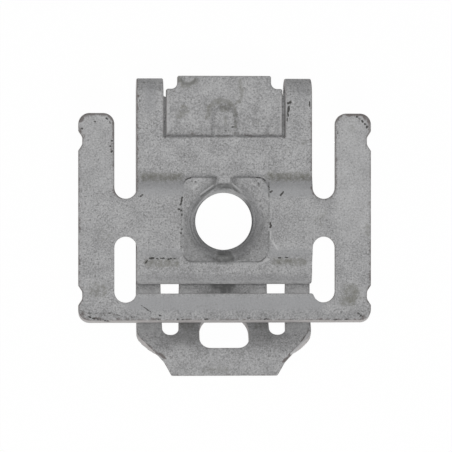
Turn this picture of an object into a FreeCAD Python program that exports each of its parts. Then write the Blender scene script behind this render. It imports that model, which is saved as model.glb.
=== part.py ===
"""Clip nut for an M8 screw, folded from one sheet of spring steel.

A strip runs from the tongue, along the back leaf, round the fold and back as the front leaf.
The front leaf steps up to the bore pad, which also carries the two wings and the bar.
The frame: X across the strip, +Y towards the fold, +Z up, bore axis at X = Y = 0, back leaf on Z = 0.
"""
import FreeCAD, Part
import os
import re
import Sketcher

SIZES = [
    ("sheet_gauge", 1.0, "thickness of the steel sheet"),
    ("strip_width", 20.2, "width of the folded strip"),
    ("fold_radius", 2.1, "outside radius of the fold"),
    ("fold_reach", 16.52, "bore axis to the outside of the fold"),
    ("window_width", 14.14, "opening through the fold, between its two ears"),
    ("window_root", 9.6, "bore axis to the edge where the stop tab leaves the leaf"),
    ("tab_slit", 0.38, "slit on each side of the stop tab"),
    ("tab_reach", 16.77, "bore axis to the end of the stop tab"),
    ("tab_drop", 0.62, "step from the leaf down to the stop tab"),
    ("tab_seat", 0.7, "length of the half-sheared root of the stop tab"),
    ("tab_notch_width", 1.3, "corner notch of the stop tab, across"),
    ("tab_notch_length", 1.5, "corner notch of the stop tab, along"),
    ("tab_notch_radius", 0.7, "inner corner of that notch"),
    ("gusset_width", 3.5, "pressed gusset at the root of the stop tab"),
    ("gusset_length", 4.1, "length of that gusset"),
    ("gusset_rise", 0.36, "height of that gusset above the stop tab"),
    ("web_raise", 0.8, "wings and bore pad above the front leaf"),
    ("upper_step_head", 3.9, "bore axis to the top of the step beside the fold"),
    ("upper_step_foot", 5.3, "bore axis to the foot of that step"),
    ("lower_step_head", 3.3, "bore axis to the top of the step beside the lip"),
    ("lower_step_foot", 4.8, "bore axis to the foot of that step"),
    ("lip_bend", 6.0, "bore axis to the bend of the lip"),
    ("lip_end", 7.26, "bore axis to the end of the lip"),
    ("lip_angle", 32.0, "droop of the lip"),
    ("soft_bend_radius", 0.9, "inside radius of the steps and the lip"),
    ("wing_span", 33.66, "overall width across the wings"),
    ("side_slot_width", 2.6, "slots between the strip and the wings"),
    ("wing_top", 12.4, "bore axis to the wing tips"),
    ("wing_corner", 1.03, "corner radius of the wing tips and the bar"),
    ("upper_slot_end", 2.59, "bore axis to the end of the open slot"),
    ("lower_slot_end", 1.77, "bore axis to the near end of the closed slot"),
    ("slot_bite", 1.04, "depth of the closed slot into the bar"),
    ("notch_depth", 0.44, "depth of the round edge notches of the wings"),
    ("notch_length", 2.5, "length of those notches"),
    ("upper_notch_place", 9.26, "bore axis to the middle of the upper notches"),
    ("lower_notch_place", 8.46, "bore axis to the middle of the lower notches"),
    ("bar_bottom", 11.66, "bore axis to the lower edge of the bar"),
    ("bar_width", 3.36, "width of the bar"),
    ("bar_flare_length", 1.5, "length of the turned-up lower edge of the bar"),
    ("bar_flare_angle", 18.0, "angle of that edge"),
    ("pad_width", 9.86, "square boss of the bore pad, across"),
    ("pad_length", 9.8, "square boss of the bore pad, along"),
    ("pad_shift", 0.2, "middle of that square from the bore axis"),
    ("pad_corner", 1.3, "corner radius of that square"),
    ("pad_sink", 0.05, "corners of the boss below the wings"),
    ("dish_depth", 0.45, "depth of the dish in the boss"),
    ("mouth_width", 9.2, "diameter at the bottom of the dish, where the mouth of the bore starts"),
    ("mouth_round", 1.2, "round mouth of the bore"),
    ("bore_radius", 3.3, "bore, at the crests of the thread"),
    ("collar_wall", 0.8, "wall of the drawn collar"),
    ("collar_clear", 0.3, "gap between the collar and the level of the back leaf"),
    ("channel_width", 1.9, "flat channels that lead from the leaf into the mouth, across their floor"),
    ("channel_lean", 30.0, "lean of the sides of those channels"),
    ("screw_hole_radius", 5.0, "screw clearance hole of the back leaf"),
    ("spring_slot_place", 6.18, "bore axis to the middle of each spring slot"),
    ("spring_slot_width", 1.86, "width of each spring slot"),
    ("spring_slot_start", 5.5, "bore axis to the upper end of the spring slots"),
    ("spring_slot_climb", 3.74, "length of the spring slots up the slope of the tongue"),
    ("tongue_root", 10.0, "bore axis to the bend at the root of the tongue"),
    ("tongue_ridge", 15.0, "bore axis to the ridge of the tongue"),
    ("tongue_end", 17.8, "bore axis to the end of the tongue"),
    ("tongue_angle", 35.0, "slope of the tongue"),
    ("tongue_fall", 12.0, "fall of the tongue past its ridge"),
    ("root_bend_radius", 1.5, "inside radius of the bend at the root"),
    ("ridge_bend_radius", 1.25, "inside radius of the bend at the ridge"),
    ("flank_start", 3.75, "length of the slope up to the corner of its flanks"),
    ("flank_corner", 1.6, "radius of that corner"),
    ("ridge_half_width", 7.4, "half width of the tongue at its ridge"),
    ("end_half_width", 6.15, "half width of the tongue at its end"),
    ("flank_radius", 3.76, "hollow flank past the ridge"),
    ("relief_half_width", 2.85, "half width of the D-shaped relief"),
    ("relief_middle", 3.42, "up the slope to the middle of its round end"),
    ("relief_end", 5.53, "up the slope to its flat end"),
    ("relief_corner", 1.27, "corner radius of its flat end"),
]

SPARE = 1.0
REACH = 0.02
ROUND_RATIO = 0.94
ACROSS = FreeCAD.Vector(1, 0, 0)
UP = FreeCAD.Vector(0, 0, 1)

document = FreeCAD.newDocument("clip_nut")
sheet = document.addObject("Spreadsheet::Sheet", "Sizes")
for row, (alias, size, meaning) in enumerate(SIZES, start=1):
    sheet.set(f"A{row}", str(size))
    sheet.set(f"B{row}", meaning)
    sheet.setAlias(f"A{row}", alias)
document.recompute()

# Levels and places that follow from the driving sizes
DERIVED = {
    "half_strip": "(strip_width / 2)",
    "half_span": "(wing_span / 2)",
    "leaf_top": "(2 * fold_radius)",
    "leaf_under": "(2 * fold_radius - sheet_gauge)",
    "web_top": "(2 * fold_radius + web_raise)",
    "web_under": "(2 * fold_radius + web_raise - sheet_gauge)",
    "fold_middle": "(fold_reach - fold_radius)",
    "tab_top": "(2 * fold_radius - tab_drop)",
    "half_tab": "(window_width / 2 - tab_slit)",
    "wing_inner": "(strip_width / 2 + side_slot_width)",
    "slot_radius": "(side_slot_width / 2)",
    "slot_place": "(strip_width / 2 + side_slot_width / 2)",
    "bar_top": "(bar_bottom - bar_width)",
    "flare_start": "(bar_bottom - bar_flare_length)",
    "pad_top": "(2 * fold_radius + web_raise - pad_sink)",
    "mouth_level": "(2 * fold_radius + web_raise - pad_sink - dish_depth)",
    "notch_radius": "((notch_length ^ 2 / 4 + notch_depth ^ 2) / (2 * notch_depth))",
    "collar_radius": "(bore_radius + collar_wall)",
    "ridge_top": "(sheet_gauge + (tongue_ridge - tongue_root) * tan(tongue_angle))",
    "slope_length": "((tongue_ridge - tongue_root) / cos(tongue_angle))",
    "spring_slot_radius": "(spring_slot_width / 2)",
}
ALIASES = {alias for alias, size, meaning in SIZES}


def formula(words):
    """Write a formula of plain size names as an expression of the sheet."""
    def known(match):
        word = match.group()
        if word in DERIVED:
            return formula(DERIVED[word])
        return f"Sizes.{word}" if word in ALIASES else word
    return re.sub(r"[a-z_]+", known, words)


def amount(words):
    """Give the present value of a formula, in millimetres or degrees."""
    return float(sheet.evalExpression(formula(words)))


body = document.addObject("PartDesign::Body", "clip_nut")
body.Label = "clip_nut"
planes = {feature.Role: feature for feature in body.Origin.OriginFeatures}


def new_sketch(name, plane, lift=None, tilt=None, slide=None):
    """Start a sketch on an origin plane, lifted along its normal, slid along its Y or tilted about its X."""
    sketch = body.newObject("Sketcher::SketchObject", name)
    sketch.AttachmentSupport = (planes[plane], [""])
    sketch.MapMode = "FlatFace"
    if tilt:
        sketch.AttachmentOffset = FreeCAD.Placement(
            FreeCAD.Vector(0, 0, 0), FreeCAD.Rotation(FreeCAD.Vector(-1, 0, 0), amount(tilt)))
        sketch.setExpression("AttachmentOffset.Rotation.Angle", formula(tilt))
    if lift:
        sketch.setExpression("AttachmentOffset.Base.z", formula(lift))
    if slide:
        sketch.setExpression("AttachmentOffset.Base.y", formula(slide))
    document.recompute()
    return sketch


def hold(sketch, kind, references, words):
    """Add a dimension to a sketch and bind it to a formula."""
    index = sketch.addConstraint(Sketcher.Constraint(kind, *references, amount(words)))
    sketch.setExpression(f"Constraints[{index}]", formula(words))


def hold_point(sketch, geometry, end, across, along):
    """Fix one point of a sketch by formulas of its two coordinates."""
    for kind, axis, words in (("DistanceX", -2, across), ("DistanceY", -1, along)):
        if words == "0":
            sketch.addConstraint(Sketcher.Constraint("PointOnObject", geometry, end, axis))
        else:
            hold(sketch, kind, (-1, 1, geometry, end), words)


def outline(sketch, corners):
    """Draw a closed outline.

    Each corner is (across, along), or (across, along, radius, turn) where an arc leads on from it;
    turn is 1 for an arc that bends to the left and -1 for one that bends to the right.
    """
    places = [FreeCAD.Vector(amount(corner[0]), amount(corner[1]), 0) for corner in corners]
    pieces = []
    for index, corner in enumerate(corners):
        start = places[index]
        finish = places[(index + 1) % len(places)]
        if len(corner) == 2:
            pieces.append((sketch.addGeometry(Part.LineSegment(start, finish), False), 1, 2))
            continue
        radius = amount(corner[2])
        turn = corner[3]
        chord = finish - start
        left = FreeCAD.Vector(-chord.y, chord.x, 0).normalize() * turn
        centre = (start + finish) / 2 + left * max(radius ** 2 - (chord.Length / 2) ** 2, 0) ** 0.5
        middle = centre - left * radius
        if turn > 0:
            arc = sketch.addGeometry(Part.Arc(start, middle, finish), False)
            pieces.append((arc, 1, 2))
        else:
            arc = sketch.addGeometry(Part.Arc(finish, middle, start), False)
            pieces.append((arc, 2, 1))
        hold(sketch, "Radius", (arc,), corner[2])
    for index, (geometry, first, last) in enumerate(pieces):
        following = pieces[(index + 1) % len(pieces)]
        sketch.addConstraint(Sketcher.Constraint("Coincident", geometry, last, following[0], following[1]))
        hold_point(sketch, geometry, first, corners[index][0], corners[index][1])


def circle(sketch, radius):
    """Draw a circle about the origin of a sketch."""
    ring = sketch.addGeometry(Part.Circle(FreeCAD.Vector(0, 0, 0), UP, amount(radius)), False)
    hold(sketch, "Radius", (ring,), radius)
    hold_point(sketch, ring, 3, "0", "0")


def rounded_rectangle(width, length, corner, shift="0"):
    """Give the corners of a rectangle with round corners, its middle shifted along."""
    right, left = f"({width}) / 2", f"-({width}) / 2"
    top, bottom = f"{shift} + ({length}) / 2", f"{shift} - ({length}) / 2"
    inset = f"({corner})"
    return [
        (f"{left} + {inset}", bottom), (f"{right} - {inset}", bottom, corner, 1),
        (right, f"{bottom} + {inset}"), (right, f"{top} - {inset}", corner, 1),
        (f"{right} - {inset}", top), (f"{left} + {inset}", top, corner, 1),
        (left, f"{top} - {inset}"), (left, f"{bottom} + {inset}", corner, 1),
    ]


def mirrored(corners):
    """Give the outline on the other side of the strip, drawn the same way round."""
    turned = []
    for index in range(len(corners) - 1, -1, -1):
        across, along = corners[index][:2]
        before = corners[index - 1]
        turned.append((f"-({across})", along) + tuple(before[2:]))
    return turned


def pad(name, sketch, length, both_ways=False):
    """Thicken a sketch along its normal, or equally to both sides."""
    feature = body.newObject("PartDesign::Pad", name)
    feature.Profile = sketch
    feature.setExpression("Length", formula(length))
    feature.SideType = "Symmetric" if both_ways else "One side"
    document.recompute()
    return feature


def pocket(name, sketch, length=None):
    """Cut a sketch to both sides, right through or over a length in all."""
    before = body.Shape.Volume
    feature = body.newObject("PartDesign::Pocket", name)
    feature.Profile = sketch
    feature.SideType = "Symmetric"
    if length:
        feature.setExpression("Length", formula(length))
    else:
        feature.Type = "ThroughAll"
    document.recompute()
    if body.Shape.Volume >= before:
        raise RuntimeError(f"{name} cuts nothing")
    return feature


def loft(name, kind, lower, upper):
    """Join two sketches by a straight-sided loft, added or cut."""
    feature = body.newObject(f"PartDesign::{kind}Loft", name)
    feature.Profile = lower
    feature.Sections = [upper]
    feature.Ruled = True
    document.recompute()
    return feature


def straight_edges(places, direction):
    """Find the edges along a direction whose middles lie at places (x, y, z); None leaves x free."""
    chosen = []
    for number, edge in enumerate(body.Tip.Shape.Edges, start=1):
        if edge.Curve.TypeId != "Part::GeomLine":
            continue
        if abs(edge.tangentAt(edge.FirstParameter).dot(direction)) < 0.999:
            continue
        middle = edge.valueAt((edge.FirstParameter + edge.LastParameter) / 2)
        for place in places:
            gaps = [abs(at - want) for at, want in zip(middle, place) if want is not None]
            if max(gaps) < REACH:
                chosen.append(f"Edge{number}")
    return chosen


def round_edges(radius, level):
    """Find the edges that lie on a level circle."""
    chosen = []
    for number, edge in enumerate(body.Tip.Shape.Edges, start=1):
        if edge.Curve.TypeId != "Part::GeomCircle":
            continue
        if abs(edge.Curve.Radius - radius) < REACH and abs(edge.Curve.Center.z - level) < REACH:
            chosen.append(f"Edge{number}")
    return chosen


def fillet(name, radius, edges):
    """Round edges of the body."""
    if not edges:
        raise RuntimeError(f"{name} finds no edge to round")
    base = body.Tip
    feature = body.newObject("PartDesign::Fillet", name)
    feature.Base = (base, edges)
    feature.setExpression("Radius", formula(radius))
    document.recompute()
    return feature

# Back leaf and tongue, drawn from the side: the strip lies flat, climbs to the ridge and falls to its end
ridge_mean = "((tongue_angle + tongue_fall) / 2)"
ridge_lean = "((tongue_angle - tongue_fall) / 2)"
end_top = "(ridge_top - (tongue_end - tongue_ridge) * tan(tongue_fall))"
root_corner = ("-tongue_root", "sheet_gauge")
root_under = ("-tongue_root - sheet_gauge * tan(tongue_angle / 2)", "0")
ridge_corner = ("-tongue_ridge", "ridge_top")
ridge_under = (
    f"-tongue_ridge - sheet_gauge * sin({ridge_lean}) / cos({ridge_mean})",
    f"ridge_top - sheet_gauge * cos({ridge_lean}) / cos({ridge_mean})",
)
side = new_sketch("back_leaf_side", "YZ_Plane")
outline(side, [
    ("fold_middle", "0"), ("fold_middle", "sheet_gauge"), root_corner, ridge_corner,
    ("-tongue_end", end_top),
    ("-tongue_end + sheet_gauge * sin(tongue_fall)", f"{end_top} - sheet_gauge * cos(tongue_fall)"),
    ridge_under, root_under,
])
pad("back_leaf", side, "strip_width", both_ways=True)


def bend_edges(*corners):
    """Find the edges of bends from their corners in a side view."""
    return straight_edges([(None, amount(along), amount(level)) for along, level in corners], ACROSS)


fillet("root_inside", "root_bend_radius", bend_edges(root_corner))
fillet("root_outside", "root_bend_radius + sheet_gauge", bend_edges(root_under))
fillet("ridge_inside", "ridge_bend_radius", bend_edges(ridge_under))
fillet("ridge_outside", "ridge_bend_radius + sheet_gauge", bend_edges(ridge_corner))

# Flanks of the tongue past its ridge
flank = [
    ("ridge_half_width", "-tongue_ridge", "flank_radius", 1),
    ("end_half_width", "-tongue_end"),
    ("end_half_width", f"-tongue_end - {SPARE}"),
    (f"half_strip + {SPARE}", f"-tongue_end - {SPARE}"),
    (f"half_strip + {SPARE}", "-tongue_ridge"),
]
plan = new_sketch("end_flanks_plan", "XY_Plane")
outline(plan, flank)
outline(plan, mirrored(flank))
pocket("end_flanks", plan)

# Slope of the tongue, cut square to its own surface: flank corners, spring slots and the D-shaped relief
shoulder = [
    ("half_strip", "-flank_start"), ("ridge_half_width", "-slope_length"),
    (f"half_strip + {SPARE}", "-slope_length"), (f"half_strip + {SPARE}", "-flank_start"),
]
slot_left = "spring_slot_place - spring_slot_radius"
slot_right = "spring_slot_place + spring_slot_radius"
climbing_slot = [
    (slot_left, "spring_slot_radius"),
    (slot_left, "spring_slot_radius - spring_slot_climb", "spring_slot_radius", 1),
    ("spring_slot_place", "-spring_slot_climb", "spring_slot_radius", 1),
    (slot_right, "spring_slot_radius - spring_slot_climb"),
    (slot_right, "spring_slot_radius"),
]
slope = new_sketch("tongue_slope", "XY_Plane", lift="sheet_gauge", slide="-tongue_root", tilt="tongue_angle")
for shape in (shoulder, climbing_slot):
    outline(slope, shape)
    outline(slope, mirrored(shape))
outline(slope, [
    ("-relief_half_width", "-relief_middle"),
    ("-relief_half_width", "relief_corner - relief_end", "relief_corner", 1),
    ("relief_corner - relief_half_width", "-relief_end"),
    ("relief_half_width - relief_corner", "-relief_end", "relief_corner", 1),
    ("relief_half_width", "relief_corner - relief_end"),
    ("relief_half_width", "-relief_middle", "relief_half_width", 1),
    ("0", "relief_half_width - relief_middle", "relief_half_width", 1),
])
pocket("slope_cuts", slope)
square_to_slope = FreeCAD.Rotation(ACROSS, -amount("tongue_angle")).multVec(UP)
corner = slope.getGlobalPlacement().multVec(
    FreeCAD.Vector(amount("half_strip"), -amount("flank_start"), -amount("sheet_gauge") / 2))
flank_corners = [(turn * corner.x, corner.y, corner.z) for turn in (1, -1)]
fillet("flank_corners", "flank_corner", straight_edges(flank_corners, square_to_slope))

# Flat of the back leaf: the rest of the spring slots and the clearance hole of the screw
flat_slot = [
    (slot_left, "-spring_slot_start - spring_slot_radius"), (slot_left, "-tongue_root"),
    (slot_right, "-tongue_root"),
    (slot_right, "-spring_slot_start - spring_slot_radius", "spring_slot_radius", 1),
    ("spring_slot_place", "-spring_slot_start", "spring_slot_radius", 1),
]
plan = new_sketch("back_leaf_plan", "XY_Plane")
outline(plan, flat_slot)
outline(plan, mirrored(flat_slot))
circle(plan, "screw_hole_radius")
pocket("back_leaf_cuts", plan)

# Front strip, drawn from the side: fold, leaf, step up to the bore pad, step down and lip
upper_bend = "sheet_gauge * tan(atan(web_raise / (upper_step_foot - upper_step_head)) / 2)"
lower_bend = "sheet_gauge * tan(atan(web_raise / (lower_step_foot - lower_step_head)) / 2)"
lip_fall = "(lip_end - lip_bend) * tan(lip_angle)"
hollow_bends = [
    ("upper_step_foot", "leaf_top"), ("-lower_step_foot", "leaf_top"),
    (f"upper_step_head - {upper_bend}", "web_under"), (f"-lower_step_head + {lower_bend}", "web_under"),
    ("-lip_bend + sheet_gauge * tan(lip_angle / 2)", "leaf_under"),
]
round_bends = [
    ("upper_step_head", "web_top"), ("-lower_step_head", "web_top"), ("-lip_bend", "leaf_top"),
    (f"upper_step_foot - {upper_bend}", "leaf_under"), (f"-lower_step_foot + {lower_bend}", "leaf_under"),
]
side = new_sketch("front_strip_side", "YZ_Plane")
outline(side, [
    ("fold_middle", "0", "fold_radius", 1), ("fold_reach", "fold_radius", "fold_radius", 1),
    ("fold_middle", "leaf_top"), hollow_bends[0], round_bends[0], round_bends[1], hollow_bends[1],
    round_bends[2], ("-lip_end", f"leaf_top - {lip_fall}"),
    ("-lip_end + sheet_gauge * sin(lip_angle)", f"leaf_top - {lip_fall} - sheet_gauge * cos(lip_angle)"),
    hollow_bends[4], round_bends[4], hollow_bends[3], hollow_bends[2], round_bends[3],
    ("fold_middle", "leaf_under", "fold_radius - sheet_gauge", -1),
    ("fold_reach - sheet_gauge", "fold_radius", "fold_radius - sheet_gauge", -1),
    ("fold_middle", "sheet_gauge"),
])
pad("front_strip", side, "strip_width", both_ways=True)
fillet("hollow_bends", "soft_bend_radius", bend_edges(*hollow_bends))
fillet("round_bends", "soft_bend_radius + sheet_gauge", bend_edges(*round_bends))

# Window through the fold, which leaves two ears, and the half-sheared stop tab between them
side = new_sketch("window_side", "YZ_Plane")
outline(side, [
    ("window_root", "fold_radius"), ("fold_middle", "fold_radius"), ("fold_middle", f"-{SPARE}"),
    (f"fold_reach + {SPARE}", f"-{SPARE}"), (f"fold_reach + {SPARE}", f"leaf_top + {SPARE}"),
    ("window_root", f"leaf_top + {SPARE}"),
])
pocket("window", side, "window_width")
side = new_sketch("stop_tab_side", "YZ_Plane")
outline(side, [
    ("window_root - tab_seat", "tab_top - sheet_gauge"), ("tab_reach", "tab_top - sheet_gauge"),
    ("tab_reach", "tab_top"), ("window_root - tab_seat", "tab_top"),
])
pad("stop_tab", side, "2 * half_tab", both_ways=True)
notch = [
    ("half_tab - tab_notch_width", f"tab_reach + {SPARE}"),
    ("half_tab - tab_notch_width", "tab_reach - tab_notch_length + tab_notch_radius", "tab_notch_radius", 1),
    ("half_tab - tab_notch_width + tab_notch_radius", "tab_reach - tab_notch_length"),
    ("half_tab + tab_slit / 2", "tab_reach - tab_notch_length"),
    ("half_tab + tab_slit / 2", f"tab_reach + {SPARE}"),
]
plan = new_sketch("tab_notch_plan", "XY_Plane")
outline(plan, notch)
outline(plan, mirrored(notch))
pocket("tab_notches", plan)
plan = new_sketch("gusset_plan", "XY_Plane", lift="tab_top")
outline(plan, [
    ("-gusset_width / 2", "window_root - tab_seat / 2"), ("gusset_width / 2", "window_root - tab_seat / 2"),
    ("gusset_width / 2", "window_root + gusset_length - gusset_width / 2", "gusset_width / 2", 1),
    ("0", "window_root + gusset_length", "gusset_width / 2", 1),
    ("-gusset_width / 2", "window_root + gusset_length - gusset_width / 2"),
])
pad("gusset", plan, "gusset_rise")

# Right wing with half of the bar, then its mirror image on the left
slot_low = "(bar_top + slot_bite - slot_radius)"
bar_corner = f"slot_place - sqrt(slot_radius ^ 2 - (bar_top - {slot_low}) ^ 2)"


def edge_notch(place):
    """Give the two ends of a shallow round notch in the outer edge of the wing, the upper end first."""
    upper = f"{place} + notch_length / 2"
    lower = f"{place} - notch_length / 2"
    return [("half_span", upper, "notch_radius", 1), ("half_span", lower)]


plan = new_sketch("wing_plan", "XY_Plane", lift="web_under")
outline(plan, [
    ("0", "-bar_top"), (bar_corner, "-bar_top", "slot_radius", 1),
    ("slot_place", "-bar_top - slot_bite", "slot_radius", 1), ("wing_inner", f"-{slot_low}"),
    ("wing_inner", "-lower_slot_end - slot_radius", "slot_radius", 1),
    ("slot_place", "-lower_slot_end", "slot_radius", 1),
    ("half_strip", "-lower_slot_end - slot_radius"),
    ("half_strip - sheet_gauge", "-lower_slot_end - slot_radius"),
    ("half_strip - sheet_gauge", "upper_slot_end + slot_radius"),
    ("half_strip", "upper_slot_end + slot_radius", "slot_radius", 1),
    ("slot_place", "upper_slot_end", "slot_radius", 1), ("wing_inner", "upper_slot_end + slot_radius"),
    ("wing_inner", "wing_top - wing_corner", "wing_corner", -1), ("wing_inner + wing_corner", "wing_top"),
    ("half_span - wing_corner", "wing_top", "wing_corner", -1), ("half_span", "wing_top - wing_corner"),
    *edge_notch("upper_notch_place"), *edge_notch("-lower_notch_place"),
    ("half_span", "-flare_start"), ("0", "-flare_start"),
])
wing = pad("wing", plan, "sheet_gauge")
both_wings = body.newObject("PartDesign::Mirrored", "both_wings")
both_wings.Originals = [wing]
both_wings.MirrorPlane = (planes["YZ_Plane"], [""])
body.Tip = both_wings
document.recompute()

# Turned-up lower edge of the bar
flare_bend = "sheet_gauge * tan(bar_flare_angle / 2)"
flare_under = f"(web_under + (bar_flare_length - {flare_bend}) * tan(bar_flare_angle))"
side = new_sketch("bar_edge_side", "YZ_Plane")
outline(side, [
    ("-flare_start", "web_under"), ("-flare_start", "web_top"),
    ("-bar_bottom + sheet_gauge * sin(bar_flare_angle)",
     f"{flare_under} + sheet_gauge * cos(bar_flare_angle)"),
    ("-bar_bottom", flare_under), (f"-flare_start - {flare_bend}", "web_under"),
])
pad("bar_edge", side, "wing_span", both_ways=True)
square_to_edge = FreeCAD.Rotation(ACROSS, -amount("bar_flare_angle")).multVec(UP)
edge_middle = (
    amount("-bar_bottom + sheet_gauge * sin(bar_flare_angle) / 2"),
    amount(f"{flare_under} + sheet_gauge * cos(bar_flare_angle) / 2"),
)
bar_corners = [(turn * amount("half_span"), *edge_middle) for turn in (1, -1)]
fillet("bar_corners", "wing_corner", straight_edges(bar_corners, square_to_edge))

# Bore pad: a square boss, dished to a round mouth and drawn down into a collar
nearly_round = f"mouth_width * {ROUND_RATIO} / 2"
square = rounded_rectangle("pad_width", "pad_length", "pad_corner", "pad_shift")
mouth_circle = rounded_rectangle("mouth_width", "mouth_width", nearly_round)
opening = new_sketch("pad_opening_plan", "XY_Plane", lift="leaf_top")
outline(opening, square)
pocket("pad_opening", opening, "4 * sheet_gauge")
plate = new_sketch("boss_plate_plan", "XY_Plane", lift="pad_top - sheet_gauge")
outline(plate, square)
pad("boss_plate", plate, "sheet_gauge")
boss_bottom = new_sketch("boss_bottom", "XY_Plane", lift="mouth_level - sheet_gauge")
outline(boss_bottom, mouth_circle)
boss_root = new_sketch("boss_root", "XY_Plane", lift="pad_top - sheet_gauge")
outline(boss_root, square)
loft("boss", "Additive", boss_bottom, boss_root)
ring = new_sketch("collar_plan", "XY_Plane", lift="sheet_gauge + collar_clear")
circle(ring, "collar_radius")
pad("collar", ring, "mouth_level - 1.5 * sheet_gauge - collar_clear")
dish_bottom = new_sketch("dish_bottom", "XY_Plane", lift="mouth_level")
outline(dish_bottom, mouth_circle)
dish_top = new_sketch("dish_top", "XY_Plane", lift="pad_top")
outline(dish_top, square)
loft("dish", "Subtractive", dish_bottom, dish_top)
plan = new_sketch("bore_plan", "XY_Plane")
circle(plan, "bore_radius")
pocket("bore", plan)
fillet("bore_mouth", "mouth_round", round_edges(amount("bore_radius"), amount("mouth_level")))
channel_top = "channel_width / 2 + 2 * web_raise * tan(channel_lean)"
section = new_sketch("channel_section", "XZ_Plane")
outline(section, [
    ("-channel_width / 2", "leaf_top"), ("channel_width / 2", "leaf_top"),
    (channel_top, "leaf_top + 2 * web_raise"), (f"-({channel_top})", "leaf_top + 2 * web_raise"),
])
pocket("channels", section, "pad_length + 2 * pad_shift")

document.recompute()
faulty = [item.Name for item in document.Objects if {"Invalid", "Error"} & set(item.State)]
if faulty:
    raise RuntimeError(f"these objects failed: {faulty}")
if body.Shape.isNull() or not body.Shape.isValid() or len(body.Shape.Solids) != 1:
    raise RuntimeError("the clip nut isn't one valid solid")
os.makedirs("parts", exist_ok=True)
body.Shape.exportStep(f"parts/{body.Label}.step")
box = body.Shape.BoundBox
print(f"clip nut {box.XLength:.2f} x {box.YLength:.2f} x {box.ZLength:.2f} mm, {body.Shape.Volume:.1f} mm3")
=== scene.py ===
"""Looks of a folded sheet-steel clip nut: the bent sheet, its dull grey coat, and the studio it lies in.

The nut is one sheet, so it is drawn flat, as it was blanked, and then bent. A point of the flat blank has
a place across the strip and a place along it: along runs over the front leaf as it lies, round the outside
of the fold, and on over the back leaf to the end of the tongue. Sizes are in millimetres until the mesh is
made.
"""
import logging
import math
from dataclasses import dataclass
from enum import Enum
from typing import ClassVar, Sequence

import bpy
import numpy as np
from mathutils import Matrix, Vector, geometry, kdtree


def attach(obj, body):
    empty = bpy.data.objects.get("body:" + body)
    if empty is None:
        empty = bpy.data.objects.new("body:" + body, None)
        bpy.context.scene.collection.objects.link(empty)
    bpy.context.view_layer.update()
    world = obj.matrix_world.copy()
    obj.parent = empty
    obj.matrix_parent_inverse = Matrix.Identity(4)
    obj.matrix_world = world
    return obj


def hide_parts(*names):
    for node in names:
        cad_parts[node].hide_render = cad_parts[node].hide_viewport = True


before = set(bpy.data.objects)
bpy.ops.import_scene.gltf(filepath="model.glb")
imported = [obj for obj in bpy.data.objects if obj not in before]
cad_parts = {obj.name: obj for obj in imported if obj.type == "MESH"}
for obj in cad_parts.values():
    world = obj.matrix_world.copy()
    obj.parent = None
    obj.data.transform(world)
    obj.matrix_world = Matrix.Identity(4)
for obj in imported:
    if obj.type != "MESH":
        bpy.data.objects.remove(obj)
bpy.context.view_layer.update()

LOG = logging.getLogger("clip_nut")
MILLIMETRE = 0.001
ARC_STEP = 0.11
ARC_PARTS = 3
LINE_STEP = 0.22
SAMPLE = 0.01
STRAIGHT = 1e-4
TINY = 1e-6
CHUNK = 4000
NO_GROOVE = -1.0

Corner = tuple[float, float, float]
Colour = tuple[float, float, float]
Span = tuple[float, float]
Face = tuple[int, ...]
Points = np.ndarray
Socket = bpy.types.NodeSocket


class SurfaceLayer(Enum):
    """The kinds of stain, specks, cut face, painted shade and painted light that are kept on the mesh for
    the finish.
    """

    # painted shade along the rolled rims, tinted reddish
    RIM = "rim"
    CUT = "cut"
    STAIN = "stain"
    # painted shade, with a few dark stains among its marks
    SHADE = "shade"
    # near-black specks and dashes
    DARK_SPECK = "dark_speck"
    # painted shade, smooth and bluish
    SMOOTH_SHADE = "smooth_shade"
    # painted light and painted highlights
    PAINTED_LIGHT = "painted_light"


class Zone(Enum):
    """The zones of the blank that are strewn with points by themselves."""

    PLAIN = 0
    BOSS = 1
    SHEAR = 2


def ramp(values: Points, start: float, stop: float) -> Points:
    """Rise smoothly from 0 at start to 1 at stop."""
    share = np.clip((values - start) / (stop - start), 0.0, 1.0)
    return share * share * (3.0 - 2.0 * share)


def softened(values: Points, half_width: int) -> Points:
    """Round the corners of a sampled line.

    Args:
        values: the line.
        half_width: half of the window, in samples, that the line is averaged over twice.

    Returns:
        The rounded line, with its ends where they were.
    """
    kernel = np.ones(2 * half_width + 1) / (2 * half_width + 1)
    for _ in range(2):
        before = 2 * values[0] - values[half_width:0:-1]
        after = 2 * values[-1] - values[-2:-half_width - 2:-1]
        values = np.convolve(np.concatenate([before, values, after]), kernel, mode="valid")
    return values


def arc(before: Points, spot: Points, after: Points, radius: float) -> list[Points]:
    """Round one corner of an outline.

    Args:
        before: the corner before it.
        spot: the corner.
        after: the corner after it.
        radius: the radius, 0 for a sharp corner.

    Returns:
        Points of the arc, or the corner itself where there is nothing to round.
    """
    back = (before - spot) / np.linalg.norm(before - spot)
    ahead = (after - spot) / np.linalg.norm(after - spot)
    half = math.acos(float(np.clip(back @ ahead, -1.0, 1.0))) / 2.0
    if radius == 0.0 or math.pi / 2.0 - half < STRAIGHT:
        return [spot]
    inward = (back + ahead) / np.linalg.norm(back + ahead)
    centre = spot + inward * radius / math.sin(half)
    first = spot + back * radius / math.tan(half) - centre
    sweep = math.pi - 2.0 * half
    if back[0] * ahead[1] - back[1] * ahead[0] > 0.0:
        sweep = -sweep
    count = max(ARC_PARTS, math.ceil(radius * abs(sweep) / ARC_STEP))
    turns: list[Points] = []
    for angle in np.linspace(0.0, sweep, count + 1):
        cosine, sine = math.cos(angle), math.sin(angle)
        turn = (first[0] * cosine - first[1] * sine, first[0] * sine + first[1] * cosine)
        turns.append(centre + np.array(turn))
    return turns


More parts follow.
